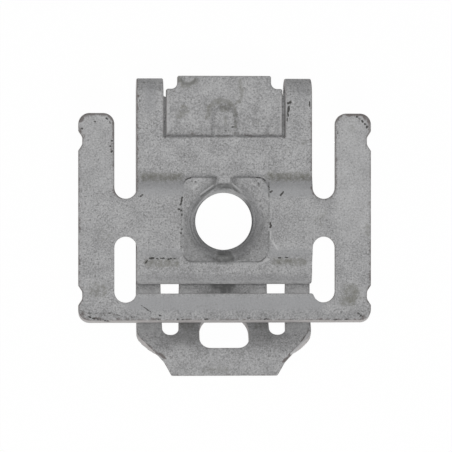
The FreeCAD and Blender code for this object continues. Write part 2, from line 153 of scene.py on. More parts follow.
def rounded(corners: Sequence[Corner]) -> Points:
    """Sample a closed outline with rounded corners.

    Args:
        corners: across, along and radius of each corner, in order.

    Returns:
        Points of the outline, close enough together for its arcs.
    """
    spots = np.array([corner[:2] for corner in corners])
    turns: list[Points] = []
    for index, (_, _, radius) in enumerate(corners):
        turns += arc(spots[index - 1], spots[index], spots[(index + 1) % len(spots)], radius)
    points: list[Points] = []
    for spot, after in zip(turns, turns[1:] + turns[:1]):
        length = np.linalg.norm(after - spot)
        if length > TINY:
            count = max(1, math.ceil(length / LINE_STEP - TINY))
            points.extend(spot + (after - spot) * share for share in np.arange(count) / count)
    return np.array(points)


def both_halves(right: Sequence[Corner]) -> list[Corner]:
    """Close the right half of an outline with its mirror image."""
    left = [(-across, along, radius) for across, along, radius in reversed(right) if across > 0.0]
    return list(right) + left


def ring_of(radius: float, along: float, count: int) -> Points:
    """Sample a circle about the middle of the strip."""
    angles = np.arange(count) * 2.0 * math.pi / count
    return np.column_stack([radius * np.cos(angles), along + radius * np.sin(angles)])


@dataclass(frozen=True)
class Loop:
    """One edge of the blank, drawn with the sheet on its left."""

    points: Points
    darkness: float = 0.5
    roll: float = 1.0

    @classmethod
    def drawn(cls, points: Points, outside: bool = False, darkness: float = 0.5,
              roll: float = 1.0) -> "Loop":
        """Turn an outline the right way round.

        Args:
            points: the outline.
            outside: True for the outer edge, False for an opening.
            darkness: how strongly the rolled rim is painted with shade.
            roll: share of the sheet's rim radius that the edge is rolled to, 0 for an edge without a rim.

        Returns:
            The loop.
        """
        following = np.roll(points, -1, axis=0)
        area = float(np.sum(points[:, 0] * following[:, 1] - following[:, 0] * points[:, 1]))
        return cls(points if (area > 0.0) == outside else points[::-1].copy(), darkness, roll)

    def inset(self, reach: float) -> Points:
        """Move the loop into the sheet.

        Args:
            reach: how far, small beside the loop's arcs.

        Returns:
            The moved points.
        """
        span = np.roll(self.points, -1, axis=0) - self.points
        span /= np.linalg.norm(span, axis=1)[:, None]
        left = np.column_stack([-span[:, 1], span[:, 0]])
        mean = left + np.roll(left, 1, axis=0)
        stretch = np.clip(np.sum(mean * mean, axis=1), 1.0, None)
        return self.points + mean * (2.0 * reach / stretch)[:, None]


def on_blank(spots: Points, loops: Sequence[Loop]) -> Points:
    """Tell which places lie on the sheet, not in an opening or outside.

    Args:
        spots: the places.
        loops: every edge of the blank.

    Returns:
        True or False for each place.
    """
    inside = np.zeros(len(spots), dtype=bool)
    for loop in loops:
        first, last = loop.points, np.roll(loop.points, -1, axis=0)
        rise = last[:, 1] - first[:, 1]
        lean = (last[:, 0] - first[:, 0]) / np.where(rise == 0.0, 1.0, rise)
        for start in range(0, len(spots), CHUNK):
            across, along = spots[start:start + CHUNK, :1], spots[start:start + CHUNK, 1:]
            level = (first[:, 1] > along) != (last[:, 1] > along)
            beside = across < first[:, 0] + (along - first[:, 1]) * lean
            inside[start:start + CHUNK] ^= (np.sum(level & beside, axis=1) % 2).astype(bool)
    return inside


def clear_of(edge: kdtree.KDTree, spots: Points, distance: float) -> Points:
    """Keep the places that are further than a distance from the points of the edges."""
    clear = [edge.find((spot[0], spot[1], 0.0))[2] > distance for spot in spots]
    return spots[np.array(clear, dtype=bool)]


@dataclass(frozen=True)
class Sheet:
    """The steel sheet, the strip that is cut from it, and the rolled rim of its edges."""

    gauge: float = 1.0
    half_width: float = 10.1
    rim_radius: float = 0.15
    burr_radius: float = 0.05
    rim_steps: tuple[float, ...] = (0.0, 0.3, 1.0)
    # how strongly each step of the rolled rim is painted with shade
    rim_dark: tuple[float, ...] = (0.8, 1.0, 0.55)
    rim_cut: tuple[float, ...] = (1.0, 0.15, 0.0)

    def inset(self, step: int) -> float:
        """Give how far a step of the rim lies inside the edge."""
        return self.rim_radius * self.rim_steps[step]

    def drop(self, step: int) -> float:
        """Give how far the rim's quarter round has fallen at a step."""
        return self.rim_radius * (1.0 - math.sqrt(1.0 - (1.0 - self.rim_steps[step]) ** 2))


@dataclass(frozen=True)
class FrontLeaf:
    """The leaf that shows: it steps up to the bore pad, down again, and ends in a drooping lip."""

    top: float = 4.2
    web_top: float = 5.0
    upper_step: Span = (3.9, 5.3)
    lower_step: Span = (3.3, 4.8)
    lip_bend: float = 6.0
    lip_end: float = 7.26
    lip_angle: float = 32.0
    lip_corner: float = 0.3
    lip_overrun: float = 1.0
    bend_window: int = 34

    def height(self, along: Points) -> Points:
        """Give the height of the leaf's top.

        Args:
            along: places along the blank; past the lip's end its slope goes on.

        Returns:
            The heights, with soft bends.
        """
        droop = math.tan(math.radians(self.lip_angle))
        beyond = self.lip_end + self.lip_overrun
        places = [-beyond, -self.lip_bend, -self.lower_step[1], -self.lower_step[0], *self.upper_step]
        lip_top = self.top - (beyond - self.lip_bend) * droop
        levels = [lip_top, self.top, self.top, self.web_top, self.web_top, self.top]
        line = np.arange(-beyond, 2.0 * self.upper_step[1], SAMPLE)
        return np.interp(along, line, softened(np.interp(line, places, levels), self.bend_window))


@dataclass(frozen=True)
class Wings:
    """The two wings and the bar that joins their lower ends, on a level with the bore pad."""

    half_span: float = 16.83
    inner: float = 12.7
    tip: float = 12.4
    corner: float = 1.28
    upper_slot_end: float = 2.59
    upper_slot_round: float = 0.995
    lower_slot_end: float = 1.77
    lower_slot_round: float = 0.99
    slot_bite: float = 1.04
    slot_turn: float = 144.0
    slot_points: int = 24
    notch_depth: float = 0.46
    notch_bottom: float = 0.85
    notch_flank: float = 0.7
    notch_round: float = 0.7
    notch_places: Span = (-8.5, 9.22)
    notch_outer_shoulder: float = 0.35
    notch_inner_shoulder: float = 0.12
    bar_bottom: float = 11.66
    bar_width: float = 3.36
    bar_corner: float = 0.22
    flare_length: float = 1.5
    flare_angle: float = 18.0
    flare_window: int = 30
    opening_darkness: float = 0.15
    opening_roll: float = 0.35

    def slot_radius(self, sheet: Sheet) -> float:
        """Give half the width of the slots between the strip and the wings."""
        return (self.inner - sheet.half_width) / 2.0

    def outer_edge(self, sheet: Sheet) -> list[Corner]:
        """Draw the right half of the outer edge from the bar to the open slot.

        Args:
            sheet: the sheet, whose thickness shows at the bar's leaning end face.

        Returns:
            The corners.
        """
        bottom = -self.bar_bottom + sheet.gauge * math.sin(math.radians(self.flare_angle))
        edge: list[Corner] = [(0.0, bottom, 0.0), (self.half_span, bottom, self.corner)]
        depth = self.half_span - self.notch_depth
        half = self.notch_bottom / 2.0
        for place in self.notch_places:
            below, above = self.notch_outer_shoulder, self.notch_inner_shoulder
            if place > 0.0:
                below, above = above, below
            edge += [(self.half_span, place - half - self.notch_flank, below),
                     (depth, place - half, self.notch_round), (depth, place + half, self.notch_round),
                     (self.half_span, place + half + self.notch_flank, above)]
        slot_round = self.slot_radius(sheet) * self.upper_slot_round
        return edge + [
            (self.half_span, self.tip, self.corner), (self.inner, self.tip, self.corner),
            (self.inner, self.upper_slot_end, slot_round),
            (sheet.half_width, self.upper_slot_end, slot_round)]

    def lower_opening(self, sheet: Sheet, leaf: FrontLeaf) -> Loop:
        """Draw the opening that runs down both closed slots and along the gap under the lip.

        Args:
            sheet: the sheet, for the side of the strip.
            leaf: the front leaf, for the end of its lip.

        Returns:
            The opening.
        """
        slot_round = self.slot_radius(sheet) * self.lower_slot_round
        bar_top = -self.bar_bottom + self.bar_width
        right: list[Corner] = [
            (0.0, -leaf.lip_end, 0.0), (sheet.half_width, -leaf.lip_end, leaf.lip_corner),
            (sheet.half_width, -self.lower_slot_end, slot_round),
            (self.inner, -self.lower_slot_end, slot_round),
            *self.slot_bottom(sheet, bar_top),
            (sheet.half_width, bar_top, self.bar_corner), (0.0, bar_top, 0.0)]
        return Loop.drawn(rounded(both_halves(right)), False, self.opening_darkness, self.opening_roll)

    def slot_bottom(self, sheet: Sheet, bar_top: float) -> list[Corner]:
        """Draw the round lower end of the right slot, from its outer side to the bar's corner.

        Args:
            sheet: the sheet, for the side of the strip.
            bar_top: place of the bar's upper edge.

        Returns:
            Points of the arc.
        """
        radius = self.slot_radius(sheet)
        middle, centre = sheet.half_width + radius, bar_top - self.slot_bite + radius
        return [(middle + radius * math.cos(angle), centre - radius * math.sin(angle), 0.0)
                for angle in np.linspace(0.0, math.radians(self.slot_turn), self.slot_points)]

    def height(self, along: Points, level: float) -> Points:
        """Give the height of the wings' top, with the bar's turned-up lower edge.

        Args:
            along: places along the blank.
            level: height of the plate.

        Returns:
            The heights.
        """
        start = -self.bar_bottom + self.flare_length
        line = np.arange(-self.bar_bottom, start + self.flare_length, SAMPLE)
        rise = np.clip(start - line, 0.0, None) * math.tan(math.radians(self.flare_angle))
        return level + np.interp(along, line, softened(rise, self.flare_window))


@dataclass(frozen=True)
class Fold:
    """The fold, cut by a window into two ears."""

    radius: float = 2.1
    middle: float = 14.42
    window_half: float = 7.03
    window_root: float = 9.6
    window_corner: float = 0.6
    slit_corner: float = 0.155

    @property
    def end(self) -> float:
        """Give the place along the blank where the back leaf starts."""
        return self.middle + math.pi * self.radius

    def bent(self, along: Points) -> tuple[Points, Points]:
        """Bend places along the blank round the fold.

        Args:
            along: the places.

        Returns:
            Y and Z of the outer face, and the way it looks.
        """
        angle = (along - self.middle) / self.radius
        facing = np.column_stack([np.sin(angle), np.cos(angle)])
        return np.array([self.middle, self.radius]) + self.radius * facing, facing


@dataclass(frozen=True)
class StopTab:
    """The tab that is half sheared down between the ears, with its pressed gusset."""

    half_width: float = 6.71
    reach: float = 16.77
    drop: float = 0.62
    shear_length: float = 0.42
    notch_width: float = 1.3
    notch_length: float = 1.5
    notch_corner: float = 0.7
    end_corner: float = 0.22
    gusset_half: float = 1.75
    gusset_length: float = 4.1
    gusset_rise: float = 0.36
    gusset_side: float = 0.75
    gusset_head: float = 1.2
    window_darkness: float = 0.2
    fine_margin: float = 0.2
    fine_length: float = 0.6

    def window(self, fold: Fold) -> Loop:
        """Draw the opening round the tab: both slits and the rest of the fold's window.

        Args:
            fold: the fold that the window is cut from.

        Returns:
            The opening.
        """
        shoulder, notch = self.half_width - self.notch_width, self.reach - self.notch_length
        right: list[Corner] = [
            (0.0, self.reach, 0.0), (shoulder, self.reach, self.end_corner),
            (shoulder, notch, self.notch_corner), (self.half_width, notch, self.end_corner),
            (self.half_width, fold.window_root, fold.slit_corner),
            (fold.window_half, fold.window_root, fold.slit_corner),
            (fold.window_half, fold.end, fold.window_corner), (0.0, fold.end, 0.0)]
        return Loop.drawn(rounded(both_halves(right)), darkness=self.window_darkness)

    def gusset(self, across: Points, along: Points, root: float) -> Points:
        """Give how far up the gusset each point lies.

        Args:
            across: places across the strip.
            along: places along the strip.
            root: place of the tab's root.

        Returns:
            0 at the foot of the gusset's arch and 1 on top.
        """
        top = root + self.gusset_length - self.gusset_half
        beyond = np.clip(along - top, 0.0, None)
        head = np.clip(beyond / self.gusset_half, 0.0, 1.0)
        run = self.gusset_side + (self.gusset_head - self.gusset_side) * head
        return ramp((self.gusset_half - np.hypot(across, beyond)) / run, 0.0, 1.0)

    def change(self, across: Points, along: Points, fold: Fold) -> Points:
        """Give the change of height from the leaf to the tab and its gusset.

        Args:
            across: places across the strip.
            along: places along the strip.
            fold: the fold that the tab is sheared from.

        Returns:
            The changes, 0 off the tab.
        """
        on_tab = (np.abs(across) < (self.half_width + fold.window_half) / 2.0) & (along > fold.window_root)
        sheared = ramp(along, fold.window_root, fold.window_root + self.shear_length)
        rise = self.gusset_rise * self.gusset(across, along, fold.window_root)
        return np.where(on_tab, sheared * (rise - self.drop), 0.0)

    def bent(self, across: Points, along: Points, fold: Fold, level: float) -> tuple[Points, Points]:
        """Place the part of the tab that reaches over the fold.

        Args:
            across: places across the strip.
            along: places along the strip.
            fold: the fold that the tab is sheared from.
            level: height of the leaf.

        Returns:
            Y and Z of the outer face, and the way it looks.
        """
        height = level + self.change(across, along, fold)
        facing = np.tile((0.0, 1.0), (len(along), 1))
        return np.column_stack([along, height]), facing

    def fine(self, across: Points, along: Points, fold: Fold) -> Points:
        """Tell which points lie at the sheared root or on the gusset.

        Args:
            across: places across the strip.
            along: places along the strip.
            fold: the fold that the tab is sheared from.

        Returns:
            True or False for each point.
        """
        past_root = along - fold.window_root
        on_tab = (np.abs(across) < fold.window_half) & (past_root > -self.fine_margin)
        on_gusset = (np.abs(across) < self.gusset_half + self.fine_margin) & (
            past_root < self.gusset_length + self.fine_margin)
        return on_tab & ((past_root < self.fine_length) | on_gusset)


@dataclass(frozen=True)
class BorePad:
    """The square boss with its dished mouth and two flat channels, and the threaded collar below it."""

    half_width: float = 4.9
    half_length: float = 4.86
    shift: float = 0.2
    corner: float = 1.3
    brink: float = 4.95
    brink_radius: float = 6.4
    slope_radii: tuple[float, ...] = (3.3, 3.42, 3.9, 4.3, 4.8, 6.4)
    slopes: tuple[float, ...] = (78.0, 58.0, 46.0, 30.0, 12.0, 8.0)
    slope_samples: int = 400
    edge_run: float = 0.2
    edge_rows: int = 4
    channel_half: float = 0.5
    channel_side: float = 1.1
    level_zone: Span = (0.2, -1.2)
    mouth_radius: float = 4.3
    entry_rows: int = 36
    entry_bunching: float = 1.4
    dip_rows: int = 10
    bore_radius: float = 3.3
    collar_radius: float = 4.1
    collar_end: float = 1.3
    collar_edge: float = 0.2
    collar_root: float = 1.25
    bend_rows: int = 5
    thread_pitch: float = 1.25
    thread_depth: float = 0.66
    thread_start: float = 0.33
    thread_flat: float = 1.35
    thread_flank: float = 3.4
    thread_run_in: float = 0.3
    thread_run_out: float = 0.35
    thread_rows: int = 34
    facets: int = 180
    fine_reach: float = 5.6

    def fall(self, radius: Points) -> Points:
        """Give how far the dish and the mouth have fallen from the brink.

        Args:
            radius: distances from the bore axis.

        Returns:
            The fall at each distance.
        """
        line = np.linspace(self.brink_radius, self.bore_radius, self.slope_samples)
        slope = np.tan(np.radians(np.interp(line, self.slope_radii, self.slopes)))
        fallen = np.concatenate([[0.0], np.cumsum((slope[1:] + slope[:-1]) / 2.0) * (line[0] - line[1])])
        return np.interp(radius, line[::-1], fallen[::-1])

    @property
    def mouth_level(self) -> float:
        """Give the height of the brim, where the sheet ends and the bore's wall begins."""
        return self.brink - float(self.fall(np.array(self.mouth_radius)))

    def edge(self, outset: float) -> Points:
        """Draw the square's edge.

        Args:
            outset: a small amount that it is moved outwards by.

        Returns:
            Points of the edge.
        """
        wide, radius = self.half_width + outset, self.corner + outset
        low, high = self.shift - self.half_length - outset, self.shift + self.half_length + outset
        corners = ((-wide, low), (wide, low), (wide, high), (-wide, high))
        return rounded([(across, along, radius) for across, along in corners])

    def inside(self, across: Points, along: Points) -> Points:
        """Give how far inside the square's edge each point lies.

        Args:
            across: places across the strip.
            along: places along the strip.

        Returns:
            The distances, below 0 outside the square.
        """
        aside = np.abs(across) - self.half_width + self.corner
        ahead = np.abs(along - self.shift) - self.half_length + self.corner
        round_corner = np.hypot(np.clip(aside, 0.0, None), np.clip(ahead, 0.0, None))
        return self.corner - round_corner - np.clip(np.maximum(aside, ahead), None, 0.0)

    def fine(self, across: Points, along: Points) -> Points:
        """Tell which points lie in or beside the boss."""
        return (np.abs(across) < self.fine_reach) & (np.abs(along - self.shift) < self.fine_reach)

    def pressed(self, across: Points, along: Points, level: Points, channel_level: float) -> Points:
        """Press the square, its dish and its two channels into the leaf.

        Args:
            across: places across the strip.
            along: places along the strip.
            level: height of the leaf without the boss.
            channel_level: height of the channels' floor.

        Returns:
            The height with the boss.
        """
        radius, inside = np.hypot(across, along), self.inside(across, along)
        beyond = np.clip(radius - self.mouth_radius, 0.0, None)
        way_out = beyond / (beyond + np.clip(inside, TINY, None))
        squared = self.mouth_radius + way_out * (self.brink_radius - self.mouth_radius)
        dish = self.brink - self.fall(np.where(beyond > 0.0, squared, radius))
        aside = ramp(np.abs(across), self.channel_half, self.channel_half + self.channel_side)
        floor = np.minimum(dish, channel_level + (dish - channel_level) * aside)
        share = ramp(inside, -self.edge_run / 2.0, self.edge_run / 2.0)
        return level + (floor - level) * share

    def wall(self, gauge: float) -> tuple[Points, Points]:
        """Trace the wall down the mouth and the bore, round the collar's end and up its outside.

        Args:
            gauge: thickness of the sheet.

        Returns:
            Radius and height of each row.
        """
        share = 1.0 - (1.0 - np.linspace(0.0, 1.0, self.entry_rows + 1)[1:]) ** self.entry_bunching
        entry_radius = self.mouth_radius + (self.bore_radius - self.mouth_radius) * share
        entry_height = self.brink - self.fall(entry_radius)
        low = self.collar_end + self.collar_edge
        thread = np.linspace(entry_height[-1], low, self.thread_rows)[1:]
        bend = np.linspace(0.0, math.pi / 2.0, self.bend_rows)[1:]
        inner = self.bore_radius + self.collar_edge * (1.0 - np.cos(bend))
        outer = self.collar_radius - self.collar_edge * (1.0 - np.sin(bend))
        rise = np.linspace(low, self.mouth_level - self.collar_root * gauge, self.bend_rows)[1:]
        radius = np.concatenate([
            entry_radius, np.full(thread.shape, self.bore_radius), inner, outer,
            np.full(rise.shape, self.collar_radius)])
        height = np.concatenate([
            entry_height, thread, low - self.collar_edge * np.sin(bend),
            low - self.collar_edge * np.cos(bend), rise])
        return radius, height

    def thread(self, angle: Points, height: float) -> Points:
        """Give the depth of the screw thread at one height of the bore.

        Args:
            angle: angles round the bore axis.
            height: the height.

        Returns:
            The depth at each angle.
        """
        phase = (height / self.thread_pitch - angle / (2.0 * math.pi) - self.thread_start) % 1.0
        profile = np.clip(self.thread_flat - np.abs(phase - 0.5) * self.thread_flank, 0.0, 1.0)
        run_in = ramp(np.array(height), self.mouth_level, self.mouth_level - self.thread_run_in)
        run_out = ramp(np.array(height), self.collar_end, self.collar_end + self.thread_run_out)
        return self.thread_depth * profile * float(run_out * run_in)


@dataclass(frozen=True)
class BackLeaf:
    """The leaf that the nut rests on, with its spring slots and its tongue."""

    root: float = 10.0
    ridge: float = 15.0
    end: float = 17.8
    angle: float = 35.0
    fall: float = 12.0
    root_window: int = 26
    ridge_window: int = 85
    screw_hole: float = 5.0
    hole_facets: int = 150
    slot_place: float = 6.18
    slot_half: float = 0.93
    slot_start_half: float = 1.12
    slot_start: float = 5.5
    slot_climb: float = 3.74
    flank_start: float = 3.75
    flank_corner: float = 1.6
    flank_half: float = 6.98
    flank_end: float = 1.25
    flank_bend: float = 2.5
    end_half: float = 6.1
    end_corner: float = 0.25
    end_round: float = 0.97
    relief_half: float = 2.85
    relief_middle: float = 3.42
    relief_end: float = 5.53
    relief_corner: float = 1.27

    def places(self, fold: Fold) -> tuple[float, float, float]:
        """Give the places along the blank of the tongue's root, ridge and end.

        Args:
            fold: the fold, where the back leaf starts.

        Returns:
            The three places.
        """
        root = fold.end + fold.middle + self.root
        ridge = root + (self.ridge - self.root) / math.cos(math.radians(self.angle))
        return root, ridge, ridge + (self.end - self.ridge) / math.cos(math.radians(self.fall))

    def line(self, fold: Fold, gauge: float) -> tuple[Points, Points, Points]:
        """Trace the top of the back leaf from the side.

        Args:
            fold: the fold, where the back leaf starts.
            gauge: thickness of the sheet.

        Returns:
            Place along the blank, Y and Z of the trace, with round bends.
        """
        root, ridge, end = self.places(fold)
        ridge_top = gauge + (self.ridge - self.root) * math.tan(math.radians(self.angle))
        end_top = ridge_top - (self.end - self.ridge) * math.tan(math.radians(self.fall))
        stops = [fold.end, root, ridge, end]
        along = np.arange(fold.end, end, SAMPLE)
        traces: list[Points] = []
        for ends in ([fold.middle, -self.root, -self.ridge, -self.end], [gauge, gauge, ridge_top, end_top]):
            plain = np.interp(along, stops, ends)
            near_root = softened(plain, self.root_window)
            near_ridge = softened(plain, self.ridge_window)
            traces.append(np.where(along < (root + ridge) / 2.0, near_root, near_ridge))
        return along, traces[0], traces[1]

    def bent(self, along: Points, fold: Fold, gauge: float) -> tuple[Points, Points]:
        """Bend places along the blank over the back leaf.

        Args:
            along: the places.
            fold: the fold, where the back leaf starts.
            gauge: thickness of the sheet.

        Returns:
            Y and Z of the outer face, which looks down, and the way it looks.
        """
        line, *traces = self.line(fold, gauge)
        top_y, top_z = (np.interp(along, line, trace) for trace in traces)
        run_y, run_z = (np.interp(along, line, np.gradient(trace, line)) for trace in traces)
        facing = np.column_stack([-run_z, run_y]) / np.hypot(run_y, run_z)[:, None]
        return np.column_stack([top_y, top_z]) + facing * gauge, facing

    def outer_edge(self, sheet: Sheet, fold: Fold) -> list[Corner]:
        """Draw the right half of the tongue's edge, from the strip's side to the middle of its end.

        Args:
            sheet: the sheet, for the side of the strip.
            fold: the fold, where the back leaf starts.

        Returns:
            The corners.
        """
        root, ridge, end = self.places(fold)
        return [(sheet.half_width, root + self.flank_start, self.flank_corner),
                (self.flank_half, ridge + self.flank_end, self.flank_bend),
                (self.end_half, end, self.end_corner), (0.0, end, 0.0)]

    def openings(self, fold: Fold) -> list[Loop]:
        """Draw the screw hole, both spring slots and the D-shaped relief.

        Args:
            fold: the fold, where the back leaf starts.

        Returns:
            The openings.
        """
        axis, root = fold.end + fold.middle, self.places(fold)[0]
        loops = [Loop.drawn(ring_of(self.screw_hole, axis, self.hole_facets))]
        start, stop = axis + self.slot_start, root + self.slot_climb
        radius = self.slot_half * self.end_round
        for middle in (-self.slot_place, self.slot_place):
            loops.append(Loop.drawn(rounded([
                (middle - self.slot_start_half, start, radius),
                (middle + self.slot_start_half, start, radius),
                (middle + self.slot_half, stop, radius), (middle - self.slot_half, stop, radius)])))
        wide, radius = self.relief_half, self.relief_half * self.end_round
        near, far = root + self.relief_middle - self.relief_half, root + self.relief_end
        loops.append(Loop.drawn(rounded([
            (-wide, near, radius), (wide, near, radius),
            (wide, far, self.relief_corner), (-wide, far, self.relief_corner)])))
        return loops


@dataclass(frozen=True)
class Mark:
    """A spot, dash or streak that shows from above, placed from the bore axis and turned by degrees."""

    CORE: ClassVar[float] = 0.3
    MARGIN: ClassVar[float] = 1.3
    FINE_LENGTH: ClassVar[float] = 4.0
    FINE_WIDTH: ClassVar[float] = 0.3

    across: float
    along: float
    length: float
    width: float
    strength: float
    turn: float = 0.0

    @property
    def fine(self) -> bool:
        """Tell whether the mark is too fine for the plain mesh to show."""
        return self.length < self.FINE_LENGTH and self.width < self.FINE_WIDTH

    @property
    def heading(self) -> Span:
        """Give the cosine and the sine of the turn."""
        return math.cos(math.radians(self.turn)), math.sin(math.radians(self.turn))

    def cover(self, across: Points, along: Points) -> Points:
        """Give how strongly the mark covers each point.

        Args:
            across: places across the nut.
            along: places along the nut.

        Returns:
            The mark's strength along its middle, falling to 0 at its width.
        """
        cosine, sine = self.heading
        run = (across - self.across) * cosine + (along - self.along) * sine
        aside = (along - self.along) * cosine - (across - self.across) * sine
        distance = np.hypot(np.clip(np.abs(run) - self.length / 2.0, 0.0, None), aside)
        return self.strength * (1.0 - ramp(distance, self.width * self.CORE, self.width))

    def grid(self, spacing: float) -> Points:
        """Strew the mark with points, so that the mesh can show it.

        Args:
            spacing: distance between the points.

        Returns:
            The points.
        """
        margin = self.width * self.MARGIN
        reach = self.length / 2.0 + margin
        steps = np.arange(-reach, reach + spacing, spacing)
        rows = np.arange(-margin, margin + spacing, spacing)
        run, aside = (values.ravel() for values in np.meshgrid(steps, rows))
        cosine, sine = self.heading
        across, along = run * cosine - aside * sine, run * sine + aside * cosine
        return np.column_stack([self.across + across, self.along + along])


def marks(*rows: tuple[float, ...]) -> tuple[Mark, ...]:
    """Make marks from rows of across, along, length, width, strength and, for a turned mark, its turn."""
    return tuple(Mark(*row) for row in rows)


def covered(group: Sequence[Mark], across: Points, along: Points) -> Points:
    """Give how strongly the strongest of some marks covers each point."""
    return np.max([mark.cover(across, along) for mark in group], axis=0)


def fine_grid(group: Sequence[Mark], spacing: float) -> Points:
    """Strew the fine ones of some marks with points."""
    return np.concatenate([mark.grid(spacing) for mark in group if mark.fine])


